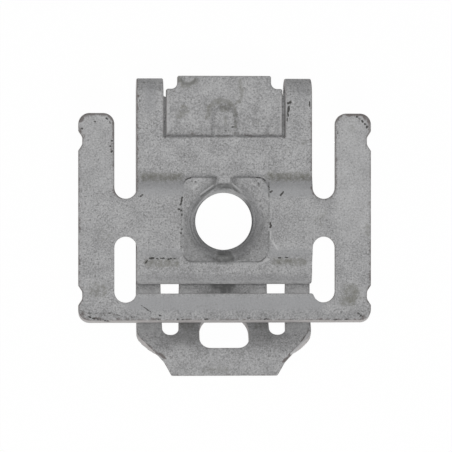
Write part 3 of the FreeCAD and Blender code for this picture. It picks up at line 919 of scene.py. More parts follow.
FRONT_MARKS: dict[SurfaceLayer, tuple[Mark, ...]] = {
    SurfaceLayer.DARK_SPECK: marks(
        # dashes along the left half of the lower step
        (-8.4, -4.24, 0.45, 0.17, 1.1, 5), (-7.75, -4.3, 0.2, 0.13, 0.9, -20),
        (-7.15, -4.25, 0.45, 0.14, 1.1, -4), (-6.35, -4.31, 0.3, 0.14, 1.0, 12),
        (-9.1, -4.8, 0.7, 0.1, 0.7, 42), (-5.8, -4.26, 0.1, 0.13, 0.8), (-8.95, -4.6, 0.5, 0.12, 0.6, 38),
        (-9.2, -4.35, 0.1, 0.12, 0.5),
        # specks down the left side of the boss
        (-4.97, 2.5, 0.4, 0.2, 1.1, 84), (-5.1, 1.95, 0.2, 0.18, 1.0, 60), (-5.3, 1.4, 0.12, 0.17, 0.9),
        (-5.02, 1.25, 0.12, 0.15, 0.8, 50), (-4.95, 0.75, 0.2, 0.14, 0.8, 90),
        (-5.0, 0.1, 0.08, 0.15, 0.8), (-5.12, -0.35, 0.06, 0.14, 0.7), (-4.95, -0.9, 0.1, 0.16, 0.9),
        (-5.05, -1.35, 0.08, 0.15, 0.8), (-4.93, -1.75, 0.15, 0.16, 0.9), (-5.0, -2.9, 0.1, 0.15, 0.9),
        # the boss's upper corners and upper edge
        (-3.4, 4.5, 0.06, 0.16, 0.9), (-3.8, 4.55, 0.1, 0.15, 0.8), (-4.3, 4.35, 0.1, 0.14, 0.8),
        (3.45, 4.6, 0.2, 0.14, 0.8, 20), (3.85, 4.35, 0.15, 0.15, 0.8, -60),
        (3.2, 4.2, 0.15, 0.14, 0.7, 60), (-4.2, 4.9, 0.6, 0.13, 0.8, 20), (3.9, 5.02, 0.5, 0.12, 0.9, -5),
        (4.5, 4.8, 0.3, 0.13, 0.8, -38), (-1.05, 5.0, 0.3, 0.12, 0.6), (4.95, 4.2, 0.5, 0.11, 0.5, 90),
        # specks down the right side of the boss, and the roots of the slots
        (5.3, 3.4, 0.25, 0.18, 1.1, 20), (5.1, 3.75, 0.3, 0.12, 0.5, 90), (6.55, 3.2, 0.5, 0.16, 1.1, 50),
        (5.2, -0.25, 0.2, 0.15, 1.1, 100), (5.25, -0.6, 0.2, 0.19, 1.1, 60), (5.1, 0.15, 0.08, 0.14, 0.8),
        (5.1, 1.4, 0.1, 0.11, 0.5), (5.12, 0.85, 0.1, 0.11, 0.5), (5.18, -2.65, 0.4, 0.11, 0.6, 90),
        (-9.6, 2.95, 0.3, 0.16, 0.8, 40), (-9.2, 3.6, 0.05, 0.12, 0.4),
        # the right half of the lower step, and the scratch on the bar
        (6.3, -4.2, 0.2, 0.14, 1.1), (7.1, -4.17, 0.35, 0.13, 1.1), (7.9, -4.25, 0.2, 0.11, 0.6),
        (-9.3, -9.85, 0.9, 0.09, 0.75, -35), (-8.75, -10.25, 0.4, 0.11, 0.95, -35),
        (-7.5, -10.78, 0.1, 0.15, 0.9),
        # the ears and the tab
        (7.43, 13.65, 0.22, 0.24, 1.2, 20), (7.36, 12.9, 0.5, 0.19, 1.2, 80),
        (7.3, 12.3, 0.35, 0.16, 1.1, 100), (7.2, 11.7, 0.3, 0.13, 0.8, 90),
        (-9.75, 13.6, 0.7, 0.12, 0.6, 90), (9.8, 13.5, 0.6, 0.13, 0.7, 90), (0.95, 10.85, 0.1, 0.17, 1.0),
        (0.1, 10.4, 0.1, 0.13, 0.8), (4.4, 10.95, 0.12, 0.15, 0.8),
        # the wings' tips
        (-16.4, 10.6, 0.12, 0.17, 0.9), (-14.95, 11.4, 0.1, 0.15, 0.7),
        (-13.55, 11.75, 0.15, 0.16, 0.9, -45), (-13.2, 11.35, 0.15, 0.16, 0.9, -70),
        (-12.95, 9.2, 0.1, 0.15, 0.9), (-13.2, 8.6, 0.1, 0.15, 0.8), (-13.0, 8.0, 0.12, 0.15, 0.9, 60),
        (-13.4, 8.95, 0.08, 0.14, 0.7), (15.2, 12.0, 0.12, 0.16, 0.8), (15.5, 11.8, 0.12, 0.18, 1.0, -30),
        (15.85, 11.5, 0.15, 0.19, 1.0, -50), (16.15, 11.2, 0.1, 0.17, 0.9),
        (16.35, 10.85, 0.12, 0.16, 0.9, 70), (12.97, 10.3, 0.3, 0.14, 0.7, 90),
        # the lower corners and the bar's lower edge
        (-15.5, -10.95, 0.2, 0.17, 1.0, -30), (-15.05, -11.1, 0.2, 0.16, 1.0, -10),
        (-14.65, -11.2, 0.12, 0.15, 0.9), (-14.2, -11.25, 0.3, 0.13, 0.7, 30),
        (-13.6, -11.35, 0.4, 0.13, 0.7), (-14.35, -10.5, 3.0, 0.1, 0.55),
        (-11.85, -10.88, 2.0, 0.1, 0.55, -19), (-10.6, -10.95, 0.4, 0.13, 0.7),
        (15.4, -10.6, 0.1, 0.2, 0.7), (15.6, -10.9, 0.15, 0.17, 0.8, 60), (13.9, -11.25, 0.2, 0.13, 0.7),
        (12.6, -11.3, 0.5, 0.13, 0.6), (-5.2, -11.2, 0.7, 0.13, 0.6), (-2.1, -11.2, 0.5, 0.13, 0.7),
        (2.75, -11.1, 0.3, 0.13, 0.7), (4.6, -11.2, 0.6, 0.13, 0.6), (8.1, -11.15, 0.4, 0.13, 0.6),
        (-7.6, -11.2, 0.4, 0.13, 0.6)),
    SurfaceLayer.PAINTED_LIGHT: marks(
        # painted highlights on the boss's edges and on the thread's first turn
        (-4.84, 2.3, 1.5, 0.1, 0.9, 90), (-4.84, -0.2, 2.4, 0.1, 0.7, 90), (4.84, 2.9, 0.7, 0.1, 0.7, 90),
        (5.22, -1.6, 0.9, 0.11, 0.9, 90), (5.75, -2.75, 1.1, 0.16, 0.9, -56),
        (3.3, 4.25, 0.5, 0.14, 0.7, -20), (-3.5, 3.95, 0.7, 0.14, 0.7, 35),
        (4.0, 3.7, 0.3, 0.13, 0.6, -50), (-2.08, 3.62, 1.8, 0.1, 1.0, 36),
        (-1.72, 3.2, 1.2, 0.09, 0.8, 36), (1.45, 3.82, 1.5, 0.09, 0.9, -41),
        (1.02, 3.38, 1.0, 0.08, 0.7, -41),
        # painted highlights and painted light on the lip's end, the wings, the tab and its edges, and the
        # bar's lower edge
        (0.0, -7.02, 19.4, 0.32, 0.5), (14.9, 5.0, 9.0, 3.4, 0.36, 90), (0.0, 15.2, 9.0, 1.4, 0.12),
        (-14.4, 8.3, 5.0, 3.2, 0.2, 90), (-6.6, 12.3, 4.2, 0.11, 0.95, 90),
        (6.6, 12.3, 4.2, 0.11, 0.8, 90), (4.75, -4.5, 0.5, 0.22, 0.9, 30),
        (0.0, -11.45, 31.0, 0.12, 0.45)),
    SurfaceLayer.SHADE: marks(
        # painted shade in the mouth and the dish
        (0.0, -3.7, 1.0, 0.6, 0.9), (0.0, -4.25, 1.0, 0.95, 1.3), (0.0, 4.08, 1.3, 0.5, 1.0),
        (-1.9, 3.42, 2.0, 0.2, 0.95, 36), (1.25, 3.62, 1.5, 0.18, 0.95, -41),
        (4.05, -1.2, 1.6, 0.4, 0.5, 70), (3.2, -2.75, 1.2, 0.4, 0.45, 40),
        (-1.37, 4.45, 1.0, 0.3, 0.65, 51), (0.98, 4.5, 0.9, 0.25, 0.6, -70),
        (-3.7, -1.0, 2.0, 0.3, 0.3, 105), (-2.4, -3.0, 1.0, 0.35, 0.35, -38),
        (-1.25, 4.6, 0.3, 0.6, 0.5, 70), (1.05, 4.6, 0.3, 0.55, 0.5, -70),
        (-2.0, 4.3, 1.2, 0.95, 0.34, 30), (1.75, 4.35, 1.0, 0.95, 0.32, -30), (-3.6, 4.0, 1.0, 1.2, 0.12),
        (3.6, 4.0, 1.0, 1.2, 0.12),
        # painted shade along the boss's lower edge and sides
        (-2.5, -4.52, 2.6, 0.2, 0.75), (2.7, -4.52, 1.8, 0.2, 0.7), (4.05, -4.58, 0.7, 0.13, 0.7, 15),
        (4.5, -4.27, 0.6, 0.13, 0.7, 45), (-4.05, -4.55, 0.7, 0.12, 0.5, -15),
        (-4.5, -4.25, 0.6, 0.12, 0.5, -45), (5.02, 3.6, 1.6, 0.15, 0.8, 90),
        (5.02, 0.8, 2.4, 0.14, 0.6, 90), (5.02, -2.3, 2.2, 0.15, 0.85, 90),
        (-5.04, -0.5, 5.6, 0.15, 0.45, 90),
        # the plate beside the boss, and the lip, made a little darker
        (7.6, 0.0, 3.0, 3.0, 0.1), (-7.6, 0.0, 3.0, 3.0, 0.07), (0.0, -5.9, 17.0, 1.3, 0.1),
        # painted shade along the gusset and the tab's root, and a dark stain at the tab's left corner
        (0.0, 9.8, 1.8, 0.24, 0.6), (-1.2, 11.2, 1.8, 0.4, 0.12, 90), (1.05, 11.2, 1.6, 0.4, 0.16, 90),
        (-0.1, 10.6, 1.0, 0.7, 0.35), (-2.2, 10.6, 0.6, 0.6, 0.3), (-4.2, 15.86, 0.8, 0.24, 0.85, 4),
        (-3.4, 16.1, 0.5, 0.22, 0.75, 38), (-4.85, 16.2, 0.4, 0.22, 0.75, -50)),
    SurfaceLayer.SMOOTH_SHADE: marks(
        # painted shade, smooth and bluish, on the upward slopes of the steps, the bends of the ears, the
        # bar and the lip
        (-7.3, 3.75, 4.0, 1.3, 0.9), (7.4, 3.7, 4.2, 1.4, 0.95), (-7.4, -3.6, 4.0, 0.7, 0.6),
        (7.4, -3.6, 4.0, 0.8, 0.7), (-8.6, 14.2, 2.4, 1.0, 0.6, 90), (8.9, 14.6, 1.6, 0.9, 0.4, 90),
        (0.0, -9.4, 21.0, 1.4, 1.0), (0.0, -6.6, 18.0, 0.7, 0.4)),
    SurfaceLayer.RIM: marks(
        # painted shade on the rolled rims of the wings' tips
        (-16.25, 11.85, 1.2, 0.3, 1.6, 48), (-15.2, 12.25, 0.9, 0.25, 1.5),
        (-14.1, 12.25, 0.9, 0.24, 1.5), (-13.1, 11.9, 1.0, 0.32, 1.6, -48),
        (-12.85, 10.4, 1.8, 0.2, 1.2, 90), (-12.95, 8.7, 1.2, 0.4, 0.6, 90),
        (16.2, 11.85, 1.2, 0.3, 1.5, -48), (14.8, 12.25, 1.4, 0.24, 1.35),
        (13.15, 12.0, 1.0, 0.26, 1.4, 45), (16.62, 10.8, 0.9, 0.26, 1.3, 85),
        (-16.62, 10.7, 0.9, 0.26, 1.0, 90),
        # painted shade at the lower corners, the bar's lower edge and the tab's root
        (-16.2, -10.6, 1.4, 0.32, 0.65, -50), (16.2, -10.6, 1.4, 0.34, 0.55, 50),
        (0.0, -11.28, 29.0, 0.24, 0.6), (-15.2, -11.15, 1.6, 0.34, 0.7),
        (-13.0, -10.75, 3.2, 0.25, 0.4, -6), (0.0, 9.95, 12.8, 0.4, 0.45),
        (-5.6, 15.2, 0.8, 0.3, 0.5, 50)),
    SurfaceLayer.STAIN: marks(
        # the creases of both steps
        (-7.2, 5.1, 4.0, 0.8, 1.0), (7.4, 5.15, 4.2, 0.85, 1.0), (-7.3, -4.8, 3.2, 0.75, 0.95),
        (7.4, -4.65, 3.2, 0.75, 0.95),
        # stain and painted shade on the arch of the gusset
        (0.0, 13.0, 0.4, 0.75, 0.95), (-0.4, 13.85, 0.8, 0.62, 0.92, 5),
        (-1.8, 12.55, 1.2, 0.5, 0.85, 75), (-1.3, 13.45, 0.8, 0.6, 0.92, 45),
        (0.55, 13.6, 0.6, 0.55, 0.9, -35), (1.15, 12.75, 1.1, 0.48, 0.8, -78),
        (1.3, 11.2, 0.6, 0.35, 0.8, 90), (0.1, 11.6, 0.8, 0.3, 0.7, 90),
        # spots and curls on the tab
        (-4.9, 12.5, 0.8, 0.8, 0.9, 30), (-4.45, 13.0, 0.6, 0.5, 0.9, -40),
        (-4.25, 15.75, 0.8, 0.5, 1.15, 8), (-5.05, 16.15, 0.6, 0.42, 1.2, -55),
        (-3.4, 16.1, 0.5, 0.4, 1.1, 50), (1.85, 15.6, 1.2, 0.36, 0.95, 100),
        (2.0, 14.5, 0.9, 0.35, 0.95, 80), (1.5, 13.7, 0.6, 0.4, 0.8, 30),
        (3.6, 11.2, 0.4, 0.45, 0.55, 30),
        # spots on the plate, the wings and the bar
        (14.7, 10.6, 0.8, 0.6, 0.5, -30), (7.2, 8.1, 0.2, 0.6, 0.55), (11.0, 0.4, 0.8, 1.0, 0.5, 60),
        (14.4, -8.5, 0.6, 1.7, 1.05, 60), (16.4, -1.0, 1.2, 0.5, 0.8, 90), (-14.0, -1.6, 0.5, 1.2, 0.35),
        (-2.1, -9.7, 2.4, 0.12, 0.6, 5), (-14.6, -7.9, 0.8, 1.4, 0.58), (9.0, 9.0, 0.6, 0.8, 0.35)),
}

BACK_MARKS: dict[SurfaceLayer, tuple[Mark, ...]] = {
    SurfaceLayer.RIM: marks(
        # painted shade along the tongue's flanks
        (9.25, -13.4, 1.3, 0.14, 1.2, 51), (8.1, -14.68, 2.0, 0.14, 1.2, 43),
        (-8.6, -14.4, 3.0, 0.24, 0.85, -40), (7.2, -15.75, 1.3, 0.24, 1.15, 45),
        (-7.15, -15.5, 0.8, 0.26, 1.1, -42), (9.72, -12.6, 0.3, 0.2, 1.0, 60)),
    SurfaceLayer.PAINTED_LIGHT: marks(
        # painted light on the leaf below the lip and the tongue's shoulders, and the pale broken edge of
        # its right flank, partly painted highlight
        (-6.6, -8.35, 6.0, 0.75, 0.6), (6.6, -8.35, 6.0, 0.75, 0.65), (-8.5, -12.3, 1.8, 1.0, 0.5),
        (8.5, -12.3, 1.8, 1.0, 0.5), (0.0, -8.7, 5.0, 0.4, 0.4), (9.58, -13.3, 1.1, 0.22, 1.3, 54),
        (8.42, -14.56, 2.0, 0.22, 1.3, 44)),
    SurfaceLayer.SHADE: marks(
        # darker at the tongue's end, a dark spot on the leaf below the lip, and the bar's painted shadow on
        # the tongue's root
        (0.0, -16.3, 11.0, 2.2, 0.12), (0.0, -7.3, 1.3, 1.15, 1.3), (0.1, -7.9, 0.3, 1.4, 1.05),
        (-0.05, -8.2, 2.0, 1.6, 0.6), (-4.2, -12.5, 1.4, 2.4, 0.44), (4.3, -12.5, 1.4, 2.4, 0.4),
        (-9.0, -12.2, 0.3, 0.5, 0.35), (6.4, -11.9, 1.6, 0.5, 0.4), (-6.6, -11.9, 1.0, 0.4, 0.4)),
    SurfaceLayer.STAIN: marks(
        # stain and the bar's painted shadow between the spring slots and the relief, and stain at the
        # tongue's end
        (-4.3, -12.0, 1.0, 0.8, 0.75), (4.5, -12.0, 1.0, 0.9, 0.8), (-6.0, -12.6, 0.3, 0.35, 0.6),
        (-1.0, -17.1, 2.4, 0.6, 0.6)),
}


@dataclass(frozen=True)
class MouthLayers:
    """Painted shade down the mouth towards the lip, in the dish, the throat and the thread's groove;
    painted highlights on the thread's first turn and the mouth's upper brow; and fine concentric lines.
    """

    # painted shade: the mouth and the dish darker towards the lip
    lip_side: Span = (1.5, -3.0)
    lip_side_dark: float = 0.42
    dish_edge: Span = (-0.1, 0.3)
    dish_dark: float = 0.5
    # painted shade on the steep throat next to the bore
    throat: float = 0.2
    throat_dark: float = 0.75
    # painted shade in the thread's groove and a painted highlight on its crest, on the side of the fold
    fold_side: Span = (0.3, 2.0)
    groove_start: Span = (0.05, 0.12)
    groove_stop: Span = (0.3, 0.2)
    groove_dark: float = 0.8
    crest_width: float = 0.05
    crest_bright: float = 1.2
    # a painted highlight on the mouth's upper brow
    brow_along: Span = (2.0, 3.1)
    brow_radius: Span = (3.75, 3.6)
    brow_bright: float = 0.45
    # fine concentric lines, darker on the left
    line_spacing: float = 0.3
    line_start: float = 0.06
    line_dark: float = 0.06
    left_line_dark: float = 0.15
    left_side: Span = (1.0, -2.5)
    line_fade: Span = (-3.4, -1.5)

    def dish(self, inside: Points, along: Points) -> Points:
        """Give the painted shade of the dish, darker towards the lip, from the distance inside the boss and
        the place along it.
        """
        return self.dish_dark * (ramp(inside, *self.dish_edge) * ramp(along, *self.lip_side))

    def shares(self, wall: Points, groove: Points, bore_radius: float) -> tuple[Points, Points]:
        """Give the painted shade, the painted highlights and the fine lines down the mouth and the bore.

        Args:
            wall: points of the wall.
            groove: how deep the thread cuts into the mouth at each point.
            bore_radius: radius at the thread's crests.

        Returns:
            How strongly each point is painted dark and painted light.
        """
        side, ahead = wall[:, 0], wall[:, 1]
        from_axis = np.hypot(side, ahead)
        fold_side = ramp(ahead, *self.fold_side)
        grooved = fold_side * ramp(groove, *self.groove_start) * ramp(groove, *self.groove_stop)
        dark = np.max([
            covered(FRONT_MARKS[SurfaceLayer.SHADE], side, ahead), self.lip_side_dark * ramp(ahead, *self.lip_side),
            self.throat_dark * ramp(from_axis, bore_radius + self.throat, bore_radius),
            self.groove_dark * grooved], axis=0)
        painted_light = np.max([
            self.crest_bright * fold_side * np.exp(-(groove / self.crest_width) ** 2),
            self.brow_bright * ramp(ahead, *self.brow_along) * ramp(from_axis, *self.brow_radius),
            covered(FRONT_MARKS[SurfaceLayer.PAINTED_LIGHT], side, ahead)], axis=0)
        lines = np.cos(2.0 * math.pi * (from_axis - bore_radius - self.line_start) / self.line_spacing)
        line_dark = self.line_dark + self.left_line_dark * ramp(side, *self.left_side)
        dark = np.clip(dark + lines * line_dark * ramp(ahead, *self.line_fade), 0.0, None)
        return dark * (1.0 - np.clip(painted_light, 0.0, 1.0)), painted_light


@dataclass(frozen=True)
class Patch:
    """A stretch of the blank, as wide on the left as on the right, that is strewn with points."""

    half_width: float
    low: float
    high: float
    spacing: float
    zone: Zone = Zone.PLAIN

    def points(self) -> Points:
        """Strew the stretch with points.

        Returns:
            The points, with every second row set off by half a step.
        """
        rows = np.arange(self.low, self.high, self.spacing * math.sqrt(3.0) / 2.0)
        columns = np.arange(-self.half_width, self.half_width, self.spacing)
        across, along = np.meshgrid(columns, rows)
        across = across + (np.arange(len(rows)) % 2)[:, None] * self.spacing / 2.0
        return np.column_stack([across.ravel(), along.ravel()])


@dataclass(frozen=True)
class Ring:
    """The points of a loop at one step of its rolled rim, numbered on from those of the ring before."""

    loop: Loop
    step: int
    start: int

    @property
    def stop(self) -> int:
        """Give the number after the ring's last point."""
        return self.start + len(self.loop.points)


@dataclass(frozen=True)
class FlatSheet:
    """The blank cut into triangles, before it is bent."""

    rings: list[Ring]
    corners: Points
    corner_of: dict[int, int]
    triangles: Points

    def chain(self, ring: Ring) -> list[int]:
        """Give the corners of the triangles that lie along a ring."""
        return [self.corner_of[number] for number in range(ring.start, ring.stop)]


@dataclass(frozen=True)
class ClipNut:
    """The whole nut: one blank with all its openings, bent to shape and coated."""

    sheet: Sheet = Sheet()
    leaf: FrontLeaf = FrontLeaf()
    wings: Wings = Wings()
    fold: Fold = Fold()
    tab: StopTab = StopTab()
    pad: BorePad = BorePad()
    back: BackLeaf = BackLeaf()
    mouth_layers: MouthLayers = MouthLayers()
    front_spacing: float = 0.27
    pad_spacing: float = 0.16
    pad_patch: float = 10.78
    shear_spacing: float = 0.085
    shear_patch: tuple[float, float, float] = (8.0, 9.0, 15.0)
    back_spacing: float = 0.42
    tongue_lead: float = 2.0
    mark_spacing: float = 0.065
    mark_clearance: float = 0.6
    clearance: float = 0.55
    tilt_step: float = 0.04
    side_slack: float = 0.03
    seam_slack: float = 0.01
    slit_slack: float = 0.1
    tip_slack: float = 0.3
    inner_rim_dark: float = 0.7
    # share of the smooth, bluish darker colour over the whole collar
    bore_smooth_shade: float = 0.4

    def loops(self) -> list[Loop]:
        """Draw every edge of the blank.

        Returns:
            The loops, with the bore's edge last.
        """
        outer = self.wings.outer_edge(self.sheet) + self.back.outer_edge(self.sheet, self.fold)
        mouth = ring_of(self.pad.mouth_radius, 0.0, self.pad.facets)
        return [
            Loop.drawn(rounded(both_halves(outer)), outside=True, darkness=1.0),
            self.wings.lower_opening(self.sheet, self.leaf), self.tab.window(self.fold),
            *self.back.openings(self.fold), Loop.drawn(mouth, roll=0.0)]

    def edge_runs(self, loops: Sequence[Loop]) -> tuple[list[Ring], list[Points]]:
        """Lay out the closed runs of points that the triangles have to follow.

        Args:
            loops: every edge of the blank.

        Returns:
            The rings along the edges, and the points of every run: those rings, then the boss's edge.
        """
        rings: list[Ring] = []
        runs: list[Points] = []
        count = 0
        for loop in loops:
            for step in range(len(self.sheet.rim_steps) if loop.roll > 0.0 else 1):
                rings.append(Ring(loop, step, count))
                runs.append(loop.inset(self.sheet.inset(step) * loop.roll))
                count += len(loop.points)
        outsets = np.linspace(-0.5, 0.5, self.pad.edge_rows) * self.pad.edge_run
        return rings, runs + [self.pad.edge(float(outset)) for outset in outsets]

    def inner_points(self, edge: kdtree.KDTree) -> Points:
        """Strew the blank with points, closest together where the sheet bends most.

        Args:
            edge: the points of the edges, which the others keep clear of.

        Returns:
            Places on the blank; some may lie outside it.
        """
        root, _, end = self.back.places(self.fold)
        span, reach, tongue = self.wings.half_span, self.pad_patch, root - self.tongue_lead
        patches = (
            Patch(span, -self.wings.bar_bottom, self.fold.middle, self.front_spacing),
            Patch(reach, -reach, reach, self.pad_spacing, Zone.BOSS),
            Patch(*self.shear_patch, self.shear_spacing, Zone.SHEAR),
            Patch(span, self.fold.middle, self.fold.end, self.front_spacing),
            Patch(span, self.fold.end, tongue, self.back_spacing),
            Patch(span, tongue, end, self.front_spacing))
        strewn: list[Points] = []
        for patch in patches:
            spots = patch.points()
            on_boss = self.pad.fine(*spots.T)
            on_shear = self.tab.fine(*spots.T, self.fold)
            zones = np.select([on_boss, on_shear], [Zone.BOSS.value, Zone.SHEAR.value], Zone.PLAIN.value)
            spots = spots[zones == patch.zone.value]
            strewn.append(clear_of(edge, spots, patch.spacing * self.clearance))
        return np.concatenate(strewn)

    def mark_points(self) -> Points:
        """Strew the fine marks with points, so that the mesh can show them.

        Returns:
            Places on the blank; some may lie outside it.
        """
        front = fine_grid(FRONT_MARKS[SurfaceLayer.DARK_SPECK] + FRONT_MARKS[SurfaceLayer.PAINTED_LIGHT], self.mark_spacing)
        back = fine_grid(BACK_MARKS[SurfaceLayer.RIM] + BACK_MARKS[SurfaceLayer.PAINTED_LIGHT], self.mark_spacing)
        line, trace, _ = self.back.line(self.fold, self.sheet.gauge)
        back[:, 1] = np.interp(-back[:, 1], -trace, line)
        return np.concatenate([front, back])

    def flat_sheet(self) -> FlatSheet:
        """Cut the blank into triangles.

        Returns:
            The flat sheet.
        """
        loops = self.loops()
        rings, runs = self.edge_runs(loops)
        edge_points = np.concatenate(runs)
        edge = kdtree.KDTree(len(edge_points))
        for number, spot in enumerate(edge_points):
            edge.insert((spot[0], spot[1], 0.0), number)
        edge.balance()
        inner = self.inner_points(edge)
        marked = self.mark_points()
        marked = clear_of(edge, marked[on_blank(marked, loops)], self.mark_spacing * self.mark_clearance)
        spots = np.concatenate([edge_points, inner[on_blank(inner, loops)], marked])
        lines: list[tuple[int, int]] = []
        for run in runs:
            start = len(lines)
            lines += [(start + step, start + (step + 1) % len(run)) for step in range(len(run))]
        made = geometry.delaunay_2d_cdt([Vector(spot) for spot in spots], lines, [], 0, TINY)
        corners = np.array([tuple(spot) for spot in made[0]])
        sources = np.array([numbers[0] if numbers else -1 for numbers in made[3]])
        triangles = np.array([face for face in made[2] if len(face) == 3])
        on_edge = np.zeros(len(spots) + 1, dtype=bool)
        for ring in rings:
            on_edge[ring.start:ring.stop] = ring.step == 0
        doubtful = on_edge[sources][triangles].all(axis=1)
        keep = np.ones(len(triangles), dtype=bool)
        keep[doubtful] = on_blank(corners[triangles[doubtful]].mean(axis=1), loops)
        corner_of = {int(source): corner for corner, source in enumerate(sources) if source >= 0}
        return FlatSheet(rings, corners, corner_of, triangles[keep])

    def level(self, along: Points, on_strip: Points) -> Points:
        """Give the height of the front's top before the boss and the tab are pressed."""
        return np.where(on_strip, self.leaf.height(along), self.wings.height(along, self.leaf.web_top))

    def bent_front(self, across: Points, along: Points) -> tuple[Points, Points]:
        """Press the front leaf, the wings, the boss and the root of the tab.

        Args:
            across: places across the blank.
            along: places along the blank.

        Returns:
            Y and Z of the outer face, and the way it looks.
        """
        on_strip = (np.abs(across) <= self.sheet.half_width + self.side_slack) & (
            along > -self.leaf.lip_end - self.seam_slack)
        level = self.level(along, on_strip)
        pressed = self.pad.pressed(across, along, level, self.leaf.top)
        strip = pressed + self.tab.change(across, along, self.fold)
        ahead = self.level(along + self.tilt_step, on_strip)
        behind = self.level(along - self.tilt_step, on_strip)
        tilt = (ahead - behind) / (2.0 * self.tilt_step)
        tilt = tilt * ramp(self.pad.inside(across, along), *self.pad.level_zone)
        place = np.column_stack([along, np.where(on_strip, strip, level)])
        return place, np.column_stack([-tilt, np.ones(len(along))])

    def bent(self, flat: Points) -> tuple[Points, Points]:
        """Bend points of the blank.

        Args:
            flat: places across and along the blank.

        Returns:
            The place of each point on the outer face, and the way that face looks there.
        """
        across, along = flat.T
        place, facing = np.column_stack([flat, along]), np.zeros((len(flat), 3))
        front = along <= self.fold.middle
        lying = along >= self.fold.end - self.seam_slack
        past_tab = (np.abs(across) > self.tab.half_width + self.slit_slack) | (
            along > self.tab.reach + self.tip_slack)
        turning = ~front & ~lying & past_tab
        tip = ~front & ~lying & ~past_tab
        level, gauge = self.leaf.top, self.sheet.gauge
        place[front, 1:], facing[front, 1:] = self.bent_front(across[front], along[front])
        place[turning, 1:], facing[turning, 1:] = self.fold.bent(along[turning])
        place[tip, 1:], facing[tip, 1:] = self.tab.bent(across[tip], along[tip], self.fold, level)
        place[lying, 1:], facing[lying, 1:] = self.back.bent(along[lying], self.fold, gauge)
        return place, facing / np.linalg.norm(facing, axis=1)[:, None]

    def build(self) -> bpy.types.Object:
        """Bend the flat sheet, give it its thickness, join the collar to it and keep its stains, marks,
        painted shade and painted light.

        Returns:
            The object, in metres.
        """
        flat = self.flat_sheet()
        outer, facing = self.bent(flat.corners)
        total = len(outer)
        rolled, burred, rim, cut = np.zeros((4, total))
        faces: list[Face] = [tuple(int(corner) for corner in triangle) for triangle in flat.triangles]
        faces += [(a + total, c + total, b + total) for a, b, c in faces]
        for ring in flat.rings[:-1]:
            chain = flat.chain(ring)
            rolled[chain] = self.sheet.drop(ring.step) * ring.loop.roll
            # painted shade along the rolled rims
            rim[chain] = self.sheet.rim_dark[ring.step] * ring.loop.darkness
            cut[chain] = self.sheet.rim_cut[ring.step]
            if ring.step == 0:
                burred[chain] = self.sheet.burr_radius
                faces += [(a, a + total, b + total, b) for a, b in zip(chain, chain[1:] + chain[:1])]
        inner = outer - facing * (self.sheet.gauge - burred)[:, None]
        outer = outer - facing * rolled[:, None]
        wall, wall_faces, groove = self.collar(flat.chain(flat.rings[-1]), outer)
        points = np.concatenate([outer, inner, wall]) * MILLIMETRE
        mesh = bpy.data.meshes.new("clip_nut_sheet")
        mesh.from_pydata([tuple(spot) for spot in points], [], faces + wall_faces)
        mesh.shade_smooth()
        piece = bpy.data.objects.new("clip_nut_sheet", mesh)
        bpy.context.scene.collection.objects.link(piece)
        self.keep_surface_layers(mesh, flat.corners, rim, cut, wall, groove)
        return piece

    def collar(self, brim: Sequence[int], outer: Points) -> tuple[Points, list[Face], Points]:
        """Make the threaded collar between the two faces of the sheet.

        Args:
            brim: the corners round the bore.
            outer: points of the sheet's outer face.

        Returns:
            New points, the faces that use them, and how deep the thread cuts into the mouth at each point.
        """
        radii, heights = self.pad.wall(self.sheet.gauge)
        angle = np.arctan2(outer[brim, 1], outer[brim, 0])
        total, around = len(outer), len(brim)
        lowered = outer[brim, 2] - self.pad.mouth_level
        rows: list[list[int]] = [list(brim)]
        points: list[Points] = []
        grooves: list[Points] = []
        inner_rows = int(np.argmin(radii)) + self.pad.thread_rows
        for row, (radius, height) in enumerate(zip(radii, heights)):
            thread = self.pad.bore_radius + self.pad.thread(angle, float(height))
            reach = np.maximum(radius, thread) if row < inner_rows else np.full(around, radius)
            level = height + lowered * max(0.0, 1.0 - (row + 1) / self.pad.dip_rows)
            points.append(np.column_stack([reach * np.cos(angle), reach * np.sin(angle), level]))
            grooves.append(thread - radius if row < self.pad.entry_rows else np.full(around, NO_GROOVE))
            rows.append([2 * total + row * around + step for step in range(around)])
        rows.append([corner + total for corner in brim])
        faces: list[Face] = []
        for upper, lower in zip(rows, rows[1:]):
            for step in range(around):
                after = (step + 1) % around
                faces.append((upper[step], lower[step], lower[after], upper[after]))
        return np.concatenate(points), faces, np.concatenate(grooves)

    def keep_surface_layers(self, mesh: bpy.types.Mesh, corners: Points, rim: Points, cut: Points, wall: Points,
                  groove: Points) -> None:
        """Keep on the mesh where its rims, cut faces, stains and marks are, with their painted shade and
        painted light, for the finish.

        Args:
            mesh: the mesh of the nut.
            corners: places on the blank.
            rim: how strongly the rolled rim is painted with shade at each corner.
            cut: share of cut face at each corner.
            wall: points of the collar.
            groove: how deep the thread cuts into the mouth at each point of the collar.
        """
        across, along = corners.T
        front, back = along < self.tab.reach, along > self.fold.end
        line, trace, _ = self.back.line(self.fold, self.sheet.gauge)
        seen = np.interp(along, line, trace)
        outer = {kind: front * covered(group, across, along) for kind, group in FRONT_MARKS.items()}
        inner = {kind: back * covered(group, across, seen) for kind, group in BACK_MARKS.items()}
